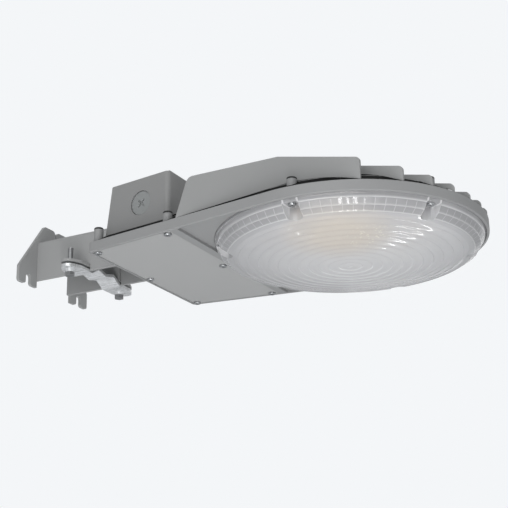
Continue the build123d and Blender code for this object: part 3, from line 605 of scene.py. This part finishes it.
@dataclass(frozen=True)
class FrostedPlastic:
    """Clear plastic with a milky body and a gloss skin, which lets shadow light through.

    The mesh's mark of painted light and shade sets its tone from dark to edge, the white of the painted
    highlights, and its skin mark says where the gloss is.
    A painted warm glow and small painted glints show where the light source lies behind it.
    """

    name: str
    # Tone 0 takes the dark colour and tone 1 the edge colour, the white of the painted highlights.
    dark: Triple = (0.40, 0.40, 0.41)
    edge: Triple = (0.97, 0.97, 0.98)
    painted_light_mark: str = "painted_light_lines"
    skin_mark: str = "skin"
    clearness: float = 0.45
    roughness: float = 0.2
    roughness_gains: Pair = (0.85, 1.15)
    skin: float = 0.8
    skin_roughness: float = 0.04
    ior: float = 1.35
    flow_scale: float = 45.0
    flow_gains: Pair = (0.94, 1.0)
    texture: Pair = (400.0, 2.0)
    texture_depth: float = 0.00001
    shadow_colour: Triple = (0.85, 0.85, 0.86)
    core: float = 0.4
    # Painted glow: a warm tint round the light source behind the lens.
    painted_glow_place: Triple = (0.279, -0.066, -0.043)
    painted_glow_reach: float = 0.05
    painted_glow_colour: Triple = (0.78, 0.735, 0.68)
    # Painted glints: small bright spots where the chips' light shows through.
    painted_glint_place: Triple = (0.300, -0.054, -0.043)
    painted_glint_reach: float = 0.026
    painted_glint_colour: Triple = (1.0, 0.98, 0.86)
    spot_scale: float = 420.0
    spot_span: Pair = (0.34, 0.24)
    chosen_noise: Pair = (160.0, 1.0)
    chosen_span: Pair = (0.45, 0.6)

    def near(self, w: Wiring, place: Socket, centre: Triple, reach: float) -> Socket:
        """A mask that is 1 within the core's share of a reach from a centre, and 0 beyond the reach."""
        return w.spread(w.away(place, centre), reach, reach * self.core)

    def painted_glints(self, w: Wiring, place: Socket) -> Socket:
        """A mask of small bright spots near one place, where the chips show through.

        Args:
            w: the material's wiring.
            place: each point's place.

        Returns:
            The painted glints' mask: round spots in scattered cells, times a noise that picks some, times
            the nearness.
        """
        cells = w.fill(w.node("ShaderNodeTexVoronoi"), Vector=place, Scale=self.spot_scale)
        spot = w.spread(cells.outputs["Distance"], *self.spot_span)
        chosen = w.spread(w.noise(place, *self.chosen_noise), *self.chosen_span)
        return w.times(spot, self.near(w, place, self.painted_glint_place, self.painted_glint_reach), chosen)

    def mark(self, w: Wiring, name: str) -> Socket:
        """A value kept on the mesh's points."""
        return w.node("ShaderNodeAttribute", attribute_name=name).outputs["Fac"]

    def build(self, effects: Effects) -> bpy.types.Material:
        """Builds the material from a milky clear shader and a see-through one for shadow rays.

        Args:
            effects: the shared node groups, which a lens has no use for.

        Returns:
            The finished material.
        """
        material, w, principled = shader(self.name)
        place = w.place()
        flow = w.noise(place, self.flow_scale)
        smooth, rough = self.roughness_gains
        # The tone of painted light and shade comes from the mesh's mark.
        tone = w.times(self.mark(w, self.painted_light_mark), w.spread(flow, *NOISE_MIDDLE, *self.flow_gains))
        # Painted glow and painted glints over the milky body's colour.
        milky = w.mix(self.near(w, place, self.painted_glow_place, self.painted_glow_reach),
                      w.mix(tone, self.dark, self.edge), self.painted_glow_colour)
        w.fill(principled, Base_Color=w.mix(self.painted_glints(w, place), milky, self.painted_glint_colour),
               Roughness=w.spread(flow, *NOISE_MIDDLE, self.roughness * smooth, self.roughness * rough),
               Normal=w.bump(w.noise(place, *self.texture), self.texture_depth),
               Coat_Weight=w.times(self.mark(w, self.skin_mark), self.skin),
               Coat_Roughness=self.skin_roughness, Transmission_Weight=self.clearness, IOR=self.ior,
               Specular_IOR_Level=0.0)
        clear = w.fill(w.node("ShaderNodeBsdfTransparent"), Color=self.shadow_colour)
        shadow = w.node("ShaderNodeLightPath").outputs["Is Shadow Ray"]
        w.show(w.blend(shadow, principled.outputs[0], clear.outputs[0]))
        return material


@dataclass(frozen=True)
class ChipField:
    """A field of light-emitting chips under yellow phosphor, unlit, on a grid."""

    name: str
    phosphor: Triple
    gap: Triple
    pitch: float = 0.006
    chip_edge: Pair = (0.34, 0.28)
    roughness: Pair = (0.5, 0.25)
    chip_height: float = 0.0003

    def build(self, effects: Effects) -> bpy.types.Material:
        """Builds the material: a chip is bright where both distances to its cell's middle are small.

        Args:
            effects: the shared node groups, which the chips have no use for.

        Returns:
            The finished material.
        """
        material, w, principled = shader(self.name)
        place = w.place()
        from_middle = []
        for axis in ("X", "Y"):
            share = w.math("FRACT", w.math("DIVIDE", w.part(place, axis), self.pitch))
            from_middle.append(w.math("ABSOLUTE", w.math("SUBTRACT", share, 0.5)))
        chip = w.spread(w.math("MAXIMUM", *from_middle), *self.chip_edge)
        w.fill(principled, Base_Color=w.mix(chip, self.gap, self.phosphor),
               Roughness=w.spread(chip, 0.0, 1.0, *self.roughness), Normal=w.bump(chip, self.chip_height))
        return material


class Finish(Enum):
    """Every finish on the barn light."""

    FRAME = PaintedMetal("frame_coat", (0.285, 0.287, 0.288))
    # The housing's shoulder gets painted shade: black below a height of 2.7 mm on upward-sloping faces.
    HOUSING = PaintedMetal("housing_coat", (0.262, 0.263, 0.262), peel_size=700.0, painted_shade_below=0.0027)
    FINS = PaintedMetal("fin_coat", (0.305, 0.308, 0.307), peel_size=700.0)
    COVER = PaintedMetal("cover_coat", (0.39, 0.392, 0.39), peel_size=1100.0)
    BRACKET = PaintedMetal("bracket_coat", (0.325, 0.328, 0.328), edge_gain=1.4)
    PLUG = PaintedMetal("plug_coat", (0.27, 0.28, 0.28), peel_size=1300.0)
    ZINC = PlatedMetal("bright_zinc", (0.84, 0.85, 0.86), metallic=0.6)
    BOLT = PlatedMetal("bolt_zinc", (0.36, 0.365, 0.37), roughness=(0.42, 0.58))
    SCREW_STEEL = PlatedMetal("screw_steel", (0.50, 0.51, 0.52), streak=(800.0, 800.0, 800.0))
    BOARD = PlatedMetal("board_metal", (0.82, 0.82, 0.80), streak=(2000.0, 40.0, 2000.0),
                        roughness=(0.35, 0.5))
    LENS = FrostedPlastic("frosted_lens")
    # The reflector's warm middle is a painted glow from the light source.
    REFLECTOR = MouldedPlastic("white_reflector", (0.88, 0.88, 0.87), roughness=0.3,
                               middle=(0.95, 0.66, 0.34), middle_from=0.045, middle_to=0.085)
    WHITE = MouldedPlastic("white_terminal", (0.78, 0.78, 0.74), roughness=0.4)
    BLACK_PLASTIC = MouldedPlastic("black_caps", (0.03, 0.03, 0.03), roughness=0.45)
    CHIPS = ChipField("chip_field", phosphor=(0.95, 0.70, 0.26), gap=(0.86, 0.78, 0.60))
    RUBBER = MouldedRubber("black_rubber", (0.012, 0.012, 0.012))
    # The shoulder seal is a rubber piece, and its near-black, glossless colour is also painted shade,
    # standing in for the deep shade under the fins.
    SEAL_AND_PAINTED_SHADE = MouldedRubber("shoulder_seal", (0.004, 0.004, 0.004), bloom=(0.008, 0.008, 0.008),
                         roughness=0.85, shine=0.1, dust=0.0)
    SILICONE = MouldedRubber("clear_silicone", (0.55, 0.56, 0.57), bloom=(0.62, 0.62, 0.62), roughness=0.4)
    PAD = MouldedRubber("thermal_pad", (0.35, 0.36, 0.40), bloom=(0.42, 0.42, 0.45), roughness=0.6)
    LEAD = MouldedRubber("lead_insulation", (0.32, 0.03, 0.02), bloom=(0.38, 0.06, 0.05), roughness=0.5)


@dataclass
class Workshop:
    """Builds each finish once and lays it on pieces."""

    effects: Effects
    made: dict[Finish, bpy.types.Material] = field(default_factory=dict)

    def material(self, finish: Finish) -> bpy.types.Material:
        """The material of a finish.

        Args:
            finish: the finish.

        Returns:
            Its material, built the first time it is asked for.
        """
        if finish not in self.made:
            self.made[finish] = finish.value.build(self.effects)
        return self.made[finish]

    def dress(self, piece: bpy.types.Object, finish: Finish) -> None:
        """Lays a finish on every slot of a piece.

        Args:
            piece: the piece.
            finish: the finish.
        """
        if not piece.material_slots:
            piece.data.materials.append(self.material(finish))
        for slot in piece.material_slots:
            slot.material = self.material(finish)

    def dress_nodes(self, finishes: dict[str, Finish]) -> None:
        """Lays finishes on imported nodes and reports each.

        Args:
            finishes: the finish of each node, by the node's name.
        """
        for name, finish in finishes.items():
            self.dress(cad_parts[name], finish)
            LOG.info("node %s: %s", name, finish.name.lower())


@dataclass
class Casting:
    """Bottom frame, top housing and what is screwed to them."""

    shop: Workshop

    def build(self) -> None:
        """Dresses the castings, their seals, caps and screws."""
        self.shop.dress_nodes({
            "bottom_frame": Finish.FRAME, "top_housing": Finish.HOUSING, "cooling_fins": Finish.FINS,
            "shoulder_seal": Finish.SEAL_AND_PAINTED_SHADE,
            "post_caps": Finish.RUBBER, "driver_cover": Finish.COVER, "driver_cover_gasket": Finish.RUBBER,
            "driver_cover_screws": Finish.SCREW_STEEL, "knockout_plug": Finish.PLUG,
            "knockout_ring": Finish.RUBBER, "wire_grommet": Finish.RUBBER})


@dataclass
class Electrics:
    """Driver, terminal block, leads and the light source."""

    shop: Workshop

    def build(self) -> None:
        """Dresses the electrical nodes."""
        self.shop.dress_nodes({
            "led_driver": Finish.BOARD, "driver_end_caps": Finish.BLACK_PLASTIC,
            "driver_screws": Finish.SCREW_STEEL, "terminal_block": Finish.WHITE,
            "supply_leads": Finish.LEAD, "led_leads": Finish.LEAD, "led_board": Finish.BOARD,
            "led_emitter": Finish.CHIPS, "thermal_pad": Finish.PAD,
            "led_board_screws": Finish.SCREW_STEEL, "reflector": Finish.REFLECTOR})


class Points(NamedTuple):
    """Points of the lens in rows and columns: radius and height in millimetres, turn in radians, tone."""

    radius: np.ndarray
    height: np.ndarray
    turn: np.ndarray
    tone: np.ndarray


class Columns(NamedTuple):
    """Where the columns of the lens run, with one value per column in each array.

    turn is that of the nearest pocket, in radians. side is -1 or 1 beside the pocket's middle and 0 on
    it. offset is the distance from the pocket's middle, up to its half width. share is how far a
    column is on its way from the pocket to half way to the next one, 0 in the pocket. in_pocket says
    whether it runs into the pocket.
    """

    turn: np.ndarray
    side: np.ndarray
    offset: np.ndarray
    share: np.ndarray
    in_pocket: np.ndarray


@dataclass
class LensAssembly:
    """Clear lens with ring steps, six screw pockets and prisms inside, its gasket and screws.

    The lens is one closed grid. Its rows run from the crown out over the underside, over the flange
    and back along the inside, and its columns run round. Sizes are in millimetres from the lens
    centre, with heights above the frame's underside, and turns are in degrees. A line is pairs of
    radius and height, and a span is two radii.
    """

    shop: Workshop
    flange_radius: float = 114.9
    flange_top: float = 2.8
    flange_foot: float = 0.8
    flange_rounding: float = 0.5
    flange_rows: int = 3
    crown_depth: float = 22.2
    dome_radius: float = 103.5
    dome_rise: float = 10.2
    ring_pitch: float = 8.5
    ring_drop: float = 0.4
    # Distance past a ring, and the share of the ring's drop that is done there.
    step_shape: tuple[Pair, ...] = ((-0.25, 0.0), (0.0, 0.1), (0.15, 0.5), (0.3, 0.9), (0.6, 1.0))
    side_line: tuple[Pair, ...] = (
        (103.8, -12.45), (104.3, -12.2), (104.6, -11.75), (109.0, -9.0), (109.45, -8.85), (109.55, -8.3),
        (112.55, -3.75), (112.95, -3.6), (113.05, -3.0), (113.7, -1.6))
    side_fade: float = 1.0
    bend_from: float = 96.0
    bend_rows: int = 34
    pocket_turns: tuple[float, ...] = (30.0, 90.0, 150.0, 210.0, 270.0, 330.0)
    pocket_offsets: tuple[float, ...] = (0.0, 1.0, 2.1, 3.2, 4.2, 5.1, 5.9, 6.5, 6.85, 7.0)
    pocket_half_width: float = 7.0
    pocket_round_centre: float = 106.5
    pocket_floor: float = -2.2
    straight_from: float = 95.0
    panes: int = 6
    pane_columns: tuple[float, ...] = (0.0, 0.05, 0.25, 0.5, 0.75, 0.95)
    pane_bulge: float = 0.3
    inner_radius: float = 99.0
    inner_line: tuple[Pair, ...] = (
        (99.0, 2.8), (99.0, 2.2), (99.0, -1.0), (99.0, -4.0), (99.0, -6.6), (98.0, -8.8), (96.2, -10.8))
    inner_dome_radius: float = 95.0
    # First radius, last radius and step of the rows on the inner dome.
    inner_rows: tuple[Triple, ...] = ((94.0, 20.0, -2.125), (20.0, 0.0, -2.5))
    inner_ring_height: float = 0.22
    wall: float = 2.2
    prisms: int = 72
    prism_depth: float = 0.35
    prism_top: float = 2.5
    prism_top_slope: float = 3.0
    dome_prism_share: float = 0.3
    dome_prism_from: float = 18.0
    dome_prism_fade: float = 30.0

    # Tones, from 0 for dark to 1 for light. They are painted light and shade: each part of the lens gets its
    # own lightness from how the light falls on it.
    dome_tone: float = 0.46
    # Radius, and the dome's gain there: painted light, lighter towards the crown.
    dome_painted_light_gains: tuple[Pair, ...] = ((0.0, 1.75), (40.0, 1.55), (75.0, 1.1), (103.5, 0.9))
    side_tone: float = 0.17
    side_tone_span: Pair = (104.6, 112.4)
    flange_tone: float = 0.10
    flange_tone_span: Pair = (113.4, 115.0)
    pocket_tone: float = 0.15
    pocket_edge_share: float = 0.8
    inner_side_from: float = 97.0
    # Painted light: the dome is lighter towards this turn, by this gain times the cosine of the turn from
    # it.
    painted_light_turn: float = -35.0
    painted_light_gain: float = 0.1
    # Radius, and the share of the painted light's gain there.
    painted_light_reach: tuple[Pair, ...] = ((0.0, 0.0), (70.0, 1.0), (103.0, 1.0), (105.0, 0.0))
    # Painted highlights: light lines on the ring steps, the ridges, the panes' joints and beside the
    # pockets.
    ring_highlight_shift: float = 0.1
    ring_highlight_half_width: float = 0.5
    ring_highlight_gain: float = 0.05
    # Radius of each ridge on the side, and how much lighter its painted highlight line is.
    ridge_highlights: tuple[Pair, ...] = ((104.3, 0.55), (109.45, 0.5), (112.95, 0.75))
    ridge_highlight_half_width: float = 0.45
    joint_width: float = 0.1
    joint_highlight_gain: float = 0.5
    pocket_side_share: float = 0.99
    pocket_side_width: float = 0.05
    pocket_side_highlight_gain: float = 1.6
    pocket_side_turn: float = 5.0

    def rings(self) -> int:
        """How many rings the dome has."""
        return int(self.dome_radius / self.ring_pitch)

    def dome_height(self, radius: np.ndarray | float) -> np.ndarray | float:
        """Height of the smooth dome: the crown plus the rise times the cube of the radius's share."""
        return self.dome_rise * (radius / self.dome_radius) ** 3 - self.crown_depth

    def half_spacing(self) -> float:
        """Half the turn from one pocket to the next, in radians."""
        return math.pi / len(self.pocket_turns)

    def half_columns(self) -> int:
        """How many columns run from the middle of a pocket to half way to the next one."""
        return len(self.pocket_offsets) + self.panes * len(self.pane_columns)

    def underside_profile(self) -> np.ndarray:
        """The underside's profile, from the crown to the flange's edge.

        The dome drops a little at each ring and has climbed half way back by the ring's middle, and the
        side climbs in two slopes with a ridge along each corner.

        Returns:
            Pairs of radius and height.
        """
        starts = self.dome_radius - self.ring_pitch * np.arange(self.rings(), 0, -1)
        pairs = [(0.0, self.dome_height(0.0) + self.ring_drop)]
        for start in starts:
            top = self.dome_height(start) + self.ring_drop
            pairs += [(start + across, top - self.ring_drop * fall) for across, fall in self.step_shape]
            middle = start + self.ring_pitch / 2
            pairs.append((middle, self.dome_height(middle) + self.ring_drop / 2))
        edge = (self.flange_radius - self.flange_rounding, self.flange_foot - self.flange_rounding)
        return np.array([*pairs, *self.side_line, edge, (self.flange_radius, self.flange_foot)])

    def columns(self) -> Columns:
        """Where the columns run, closest together in the pockets and beside the panes' joints.

        Returns:
            The columns, from half way before the first pocket round to there again.
        """
        half, pane = self.half_columns(), np.array(self.pane_columns)
        places = np.arange(-half, half)
        far, last = np.abs(places), len(self.pocket_offsets) - 1
        beyond = np.maximum(far - last - 1, 0)
        share = (beyond // len(pane) + pane[beyond % len(pane)]) / self.panes
        one = (np.sign(places), np.array(self.pocket_offsets)[np.minimum(far, last)], share, far <= last)
        turn = np.repeat(np.radians(self.pocket_turns), len(places))
        return Columns(turn, *(np.tile(values, len(self.pocket_turns)) for values in one))

    def underside(self) -> Points:
        """The underside, with the pockets let in.

        In a pocket's columns, rows inside the round end stay on the lens, and rows outside it lie on
        the pocket's floor. The round end's radius is its centre less the root of half width squared
        less offset squared. A column's turn is its pocket's turn plus its side times the angle whose
        sine is offset over radius, blended by the share to half the turn between pockets. A pane
        bulges by the size of the sine across it.

        Returns:
            The underside's points.
        """
        columns, profile = self.columns(), self.underside_profile()
        middle, bend = self.pocket_round_centre, self.bend_from
        even = np.linspace(bend, self.flange_radius, self.bend_rows)
        steps = np.unique(np.concatenate([profile[:, 0], even, [middle]]))[:, None]
        inner, outer = steps[steps[:, 0] <= middle], steps[steps[:, 0] >= middle]
        depth = np.sqrt(np.maximum(self.pocket_half_width ** 2 - columns.offset ** 2, 0))
        end = np.where(columns.in_pocket, middle - depth, middle)
        near = np.where(inner > bend, bend + (inner - bend) * (end - bend) / (middle - bend), inner)
        far = end + (outer - middle) * (self.flange_radius - end) / (self.flange_radius - middle)
        radius = np.concatenate([near, far])
        let_in = columns.in_pocket & (np.arange(len(radius))[:, None] >= len(near))
        height = np.interp(radius, profile[:, 0], profile[:, 1])
        height = np.where(let_in, np.maximum(height, self.pocket_floor), height)
        lean = np.arcsin(np.minimum(columns.offset / np.maximum(radius, self.straight_from), 1))
        turned = (1 - columns.share) * lean + columns.share * self.half_spacing()
        turn = columns.turn + columns.side * turned
        on_side = (np.clip((radius - self.dome_radius) / self.side_fade, 0, 1)
                   * np.clip((self.ridge_highlights[-1][0] - radius) / self.side_fade, 0, 1))
        pane = np.abs(np.sin(np.pi * self.panes * columns.share))
        tone = self.underside_tone(radius, turn, on_side, pane, columns.offset, let_in)
        return Points(radius + self.pane_bulge * on_side * pane, height, turn, tone)

    def underside_tone(self, radius: np.ndarray, turn: np.ndarray, on_side: np.ndarray, pane: np.ndarray,
                       offset: np.ndarray, let_in: np.ndarray) -> np.ndarray:
        """How light each point of the underside is.

        The tones are painted light and shade. The dome, the side, the flange and a pocket's floor each have
        a tone, and the dome's is painted lighter towards one turn by a gain times the cosine of the turn
        from it. A painted highlight line on a ring step or a ridge adds its gain times 1 less the distance
        to it over its half width. The joints of the panes add painted highlights of theirs, and the two
        joints beside a pocket add more. The edge of a pocket's floor is a painted white highlight.

        Args:
            radius: each point's radius.
            turn: its turn.
            on_side: 1 on the lens's side, fading to 0 at its ends.
            pane: 0 at the joint of two panes and 1 in a pane's middle.
            offset: the column's distance from the pocket's middle.
            let_in: whether the point lies in a pocket.

        Returns:
            The tones.
        """
        radii = [at for at, _ in self.dome_painted_light_gains] + [*self.side_tone_span, *self.flange_tone_span]
        tones = [self.dome_tone * gain for _, gain in self.dome_painted_light_gains]
        tone = np.interp(radius, radii, tones + [self.side_tone] * 2 + [self.flange_tone] * 2)
        reach, shares = zip(*self.painted_light_reach)
        lit = self.painted_light_gain * np.cos(turn - math.radians(self.painted_light_turn))
        tone = tone + lit * np.interp(radius, reach, shares)
        rings = self.dome_radius - self.ring_pitch * np.arange(1, self.rings()) + self.ring_highlight_shift
        painted_light_lines = [(ring, self.ring_highlight_half_width, self.ring_highlight_gain) for ring in rings]
        painted_light_lines += [(ridge, self.ridge_highlight_half_width, gain) for ridge, gain in self.ridge_highlights]
        added = np.zeros_like(radius)
        for place, half_width, gain in painted_light_lines:
            added = np.maximum(added, gain * np.clip(1 - np.abs(radius - place) / half_width, 0, 1))
        joints = on_side * np.clip(1 - pane / self.joint_width, 0, 1)
        beside = (offset > self.pocket_half_width * self.pocket_side_share) & (pane < self.pocket_side_width)
        pocket_side_highlights = self.pocket_side_highlight_gain * on_side * (beside & ~let_in & self.near_pocket(turn))
        added = np.maximum(added, self.joint_highlight_gain * np.maximum(joints, pocket_side_highlights))
        floor = np.where(offset > self.pocket_half_width * self.pocket_edge_share, 1.0, self.pocket_tone)
        return np.where(let_in, floor, np.minimum(tone + added, 1.0))

    def near_pocket(self, turn: np.ndarray) -> np.ndarray:
        """Whether a turn is within a few degrees of the middle of a pocket.

        Args:
            turn: the turns, in radians.

        Returns:
            True where it is.
        """
        half = self.half_spacing()
        apart = np.abs((turn - math.radians(self.pocket_turns[0]) + half) % (2 * half) - half)
        return apart < math.radians(self.pocket_side_turn)

    def inside(self, columns: int) -> Points:
        """The inner face, down its side and in to the crown.

        The inner dome lies the wall's thickness over the smooth dome, raised by small rings: their
        height times the size of the sine across half a ring's pitch. A prism's bulge is its depth times
        the size of the sine across it, so that prisms meet in sharp valleys. It pushes the side
        inwards, and the dome upwards, where it fades out towards the crown.

        Args:
            columns: how many columns the lens has.

        Returns:
            The inner face's points.
        """
        dome = np.concatenate([*(np.arange(*rows) for rows in self.inner_rows), [0.0]])
        rings = self.inner_ring_height * np.abs(np.sin(np.pi * dome / (self.ring_pitch / 2)))
        dome_line = np.stack([dome, self.dome_height(dome) + self.wall + rings], -1)
        line = np.concatenate([self.inner_line, dome_line])
        radius, height = line[:, 0:1], line[:, 1:2]
        step = 2 * math.pi / columns
        turn = math.radians(self.pocket_turns[0]) + (np.arange(columns) - self.half_columns()) * step
        bulge = self.prism_depth * np.abs(np.sin(self.prisms * turn / 2))
        side = radius > self.inner_dome_radius
        on_side = np.clip((self.prism_top - height) * self.prism_top_slope, 0, 1) * side
        on_dome = np.clip((radius - self.dome_prism_from) / self.dome_prism_fade, 0, 1) * ~side
        pushed = radius - on_side * bulge
        tone = np.where(pushed > self.inner_side_from, self.side_tone, self.dome_tone)
        raised = height + self.dome_prism_share * on_dome * bulge
        return Points(pushed, raised, np.broadcast_to(turn, pushed.shape), tone)

    def flange(self, under: Points, inner: Points) -> Points:
        """The flange's top, from its edge in to the inner face.

        Args:
            under: the underside, whose last row it starts over.
            inner: the inner face, whose first row it leads to.

        Returns:
            The flange's points, a few rows evenly spread without the inner face's own.
        """
        share = np.arange(self.flange_rows)[:, None] / self.flange_rows
        turn = under.turn[-1:] + (inner.turn[:1] - under.turn[-1:]) * share
        radius = self.flange_radius + (self.inner_radius - self.flange_radius) * share
        return Points(np.broadcast_to(radius, turn.shape), np.full(turn.shape, self.flange_top), turn,
                      np.full(turn.shape, self.flange_tone))

    def build_lens(self) -> None:
        """Puts the underside, the flange and the inside together as one closed piece.

        A point is the lens centre plus (radius cos turn, radius sin turn, height).
        """
        under = self.underside()
        inner = self.inside(under.radius.shape[1])
        rows = (under, self.flange(under, inner), inner)
        radius, height, turn, tone = (np.concatenate(values) for values in zip(*rows))
        points = np.stack([radius * np.cos(turn), radius * np.sin(turn), height], -1) * MM + LENS_CENTRE
        skin = np.zeros(radius.shape)
        skin[:len(under.radius)] = 1.0
        # The points carry their tone of painted light and shade as a mark, and also where the gloss skin is.
        lens = mesh_piece("prism_lens", points.reshape(-1, 3), grid_faces(*radius.shape), "light",
                          {"painted_light_lines": tone, "skin": skin})
        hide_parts("lens")
        self.shop.dress(lens, Finish.LENS)
        LOG.info("prism_lens: %d faces", len(lens.data.polygons))

    def build(self) -> None:
        """Builds the lens and dresses its gasket and screws."""
        self.build_lens()
        self.shop.dress_nodes({"lens_gasket": Finish.SILICONE, "lens_screws": Finish.SCREW_STEEL})


@dataclass
class Bracket:
    """Arm bracket with its saddle, strap, bolts and washers."""

    shop: Workshop

    def build(self) -> None:
        """Dresses the bracket and its clamp."""
        self.shop.dress_nodes({
            "arm_bracket": Finish.BRACKET, "pipe_saddle": Finish.BRACKET, "bracket_bolts": Finish.ZINC,
            "bracket_washers": Finish.ZINC, "clamp_strap": Finish.ZINC, "clamp_bolts": Finish.BOLT,
            "clamp_washers": Finish.ZINC, "clamp_lock_washers": Finish.ZINC})


@dataclass(frozen=True)
class Lamp:
    """One soft lamp, which no camera ray and no ray through the lens sees.

    It stands at its place and looks at its aim, and its height runs along a way, as near as the aim
    allows.
    """

    name: str
    place: Triple
    width: float
    height: float
    watts: float
    aim: Triple = (0.15, 0.0, 0.0)
    along: Triple = (0.0, 0.0, 1.0)

    def build(self) -> None:
        """Builds the lamp from its side, upward and back directions."""
        data = bpy.data.lights.new(self.name, "AREA")
        data.shape, data.size, data.size_y, data.energy = "RECTANGLE", self.width, self.height, self.watts
        lamp = bpy.data.objects.new(self.name, data)
        back = (Vector(self.place) - Vector(self.aim)).normalized()
        side = Vector(self.along).cross(back).normalized()
        turned = Matrix((side, back.cross(side), back)).transposed()
        lamp.matrix_world = Matrix.Translation(self.place) @ turned.to_4x4()
        lamp.visible_transmission = lamp.visible_camera = False
        bpy.context.scene.collection.objects.link(lamp)


@dataclass
class Studio:
    """Camera at the photograph's angle, soft lamps, pale floor and pale world.

    Broad lamps stand in front, below, behind, beyond the lens and above. A thin strip, three small
    lamps and a long strip on the camera's side put the highlights on the lens.
    """

    camera_place: Triple = (0.69005, -0.98447, -0.40606)
    camera_right: Triple = (0.88297, 0.46943, 0.0)
    camera_up: Triple = (0.15518, -0.29189, 0.94379)
    camera_roll: float = -0.804
    focal_length: float = 94.96
    sensor: float = 36.0
    nearest: float = 0.05
    farthest: float = 30.0
    lamps: tuple[Lamp, ...] = (
        Lamp("front_light", (0.5, -1.6, 0.1), width=1.4, height=1.4, watts=11.0),
        Lamp("under_light", (0.3, -0.5, -1.05), width=1.3, height=1.3, watts=5.0),
        Lamp("far_light", (0.1, 1.6, 0.4), width=1.2, height=1.2, watts=2.0),
        Lamp("nose_light", (1.7, 0.3, 0.0), width=1.0, height=1.0, watts=2.6),
        Lamp("top_light", (0.0, 0.2, 2.2), width=2.0, height=2.0, watts=14.0, along=(0.0, 1.0, 0.0)),
        Lamp("streak", (0.116, 0.941, -0.70), width=0.01, height=0.36, watts=0.18, aim=LENS_CENTRE,
             along=(0.903, -0.136, -0.409)),
        Lamp("glint_1", (-0.231, 0.816, -0.7035), width=0.006, height=0.006, watts=0.02, aim=LENS_CENTRE),
        Lamp("glint_2", (-0.269, 0.695, -0.80), width=0.006, height=0.006, watts=0.02, aim=LENS_CENTRE),
        Lamp("glint_3", (-0.303, 0.549, -0.889), width=0.006, height=0.006, watts=0.02, aim=LENS_CENTRE),
        Lamp("near_strip", (0.4625, -0.457, -0.92), width=0.12, height=1.0, watts=4.0, aim=LENS_CENTRE))
    floor_height: float = -1.1
    floor_half: float = 14.0
    floor_tones: tuple[Triple, Triple] = ((0.80, 0.81, 0.82), (0.84, 0.85, 0.86))
    floor_noise: float = 3.0
    floor_roughness: float = 0.8
    floor_glow: float = 0.33
    backdrop: Triple = (0.905, 0.922, 0.940)
    world_light: float = 0.45

    def build(self) -> None:
        """Builds the camera, lamps, floor and world."""
        self.build_camera()
        for lamp in self.lamps:
            lamp.build()
        self.build_floor()
        self.build_world()

    def build_camera(self) -> None:
        """Places the camera from its right and up directions and a small roll."""
        roll = math.radians(self.camera_roll)
        right, up = Vector(self.camera_right).normalized(), Vector(self.camera_up).normalized()
        across = right * math.cos(roll) + up * math.sin(roll)
        upward = up * math.cos(roll) - right * math.sin(roll)
        back = across.cross(upward)
        data = bpy.data.cameras.new("camera")
        data.lens, data.sensor_width = self.focal_length, self.sensor
        data.clip_start, data.clip_end = self.nearest, self.farthest
        camera = bpy.data.objects.new("camera", data)
        camera.matrix_world = Matrix((
            (across.x, upward.x, back.x, self.camera_place[0]),
            (across.y, upward.y, back.y, self.camera_place[1]),
            (across.z, upward.z, back.z, self.camera_place[2]),
            (0, 0, 0, 1)))
        bpy.context.scene.collection.objects.link(camera)
        bpy.context.scene.camera = camera

    def build_floor(self) -> None:
        """A pale floor well below the object, which glows a little to the camera alone."""
        half, height = self.floor_half, self.floor_height
        corners = [(x, y, height) for x, y in ((-half, -half), (half, -half), (half, half), (-half, half))]
        mesh = bpy.data.meshes.new("floor")
        mesh.from_pydata(corners, [], [(0, 1, 2, 3)])
        floor = bpy.data.objects.new("floor", mesh)
        bpy.context.scene.collection.objects.link(floor)
        material, w, principled = shader("pale_floor")
        tone = w.mix(w.noise(w.place(), self.floor_noise), *self.floor_tones)
        w.fill(principled, Base_Color=tone, Roughness=self.floor_roughness)
        seen = w.node("ShaderNodeLightPath").outputs["Is Camera Ray"]
        glow = w.fill(w.node("ShaderNodeEmission"), Color=self.backdrop,
                      Strength=w.times(seen, self.floor_glow))
        both = w.fill_in_order(w.node("ShaderNodeAddShader"), principled.outputs[0], glow.outputs[0])
        w.show(both.outputs[0])
        mesh.materials.append(material)

    def build_world(self) -> None:
        """A pale world to the camera and through the lens, and a dimmer one as light."""
        world = bpy.data.worlds.new("world")
        world.use_nodes = True
        bpy.context.scene.world = world
        w = Wiring(world.node_tree)
        ways = w.node("ShaderNodeLightPath").outputs
        seen = w.math("MAXIMUM", ways["Is Camera Ray"], ways["Is Transmission Ray"])
        plain = w.fill(w.node("ShaderNodeBackground"), Color=self.backdrop)
        dim = w.fill(w.node("ShaderNodeBackground"), Color=self.backdrop, Strength=self.world_light)
        w.show(w.blend(seen, dim.outputs[0], plain.outputs[0]), "World Output")


def main() -> None:
    """Builds the sub-assemblies and the studio in order."""
    logging.basicConfig(level=logging.INFO, format="%(name)s: %(message)s")
    bpy.context.scene.view_settings.view_transform = "Standard"
    shop = Workshop(Effects())
    for part in (Casting(shop), Electrics(shop), LensAssembly(shop), Bracket(shop), Studio()):
        part.build()
        LOG.info("built %s", type(part).__name__)


if __name__ == "__main__":
    main()
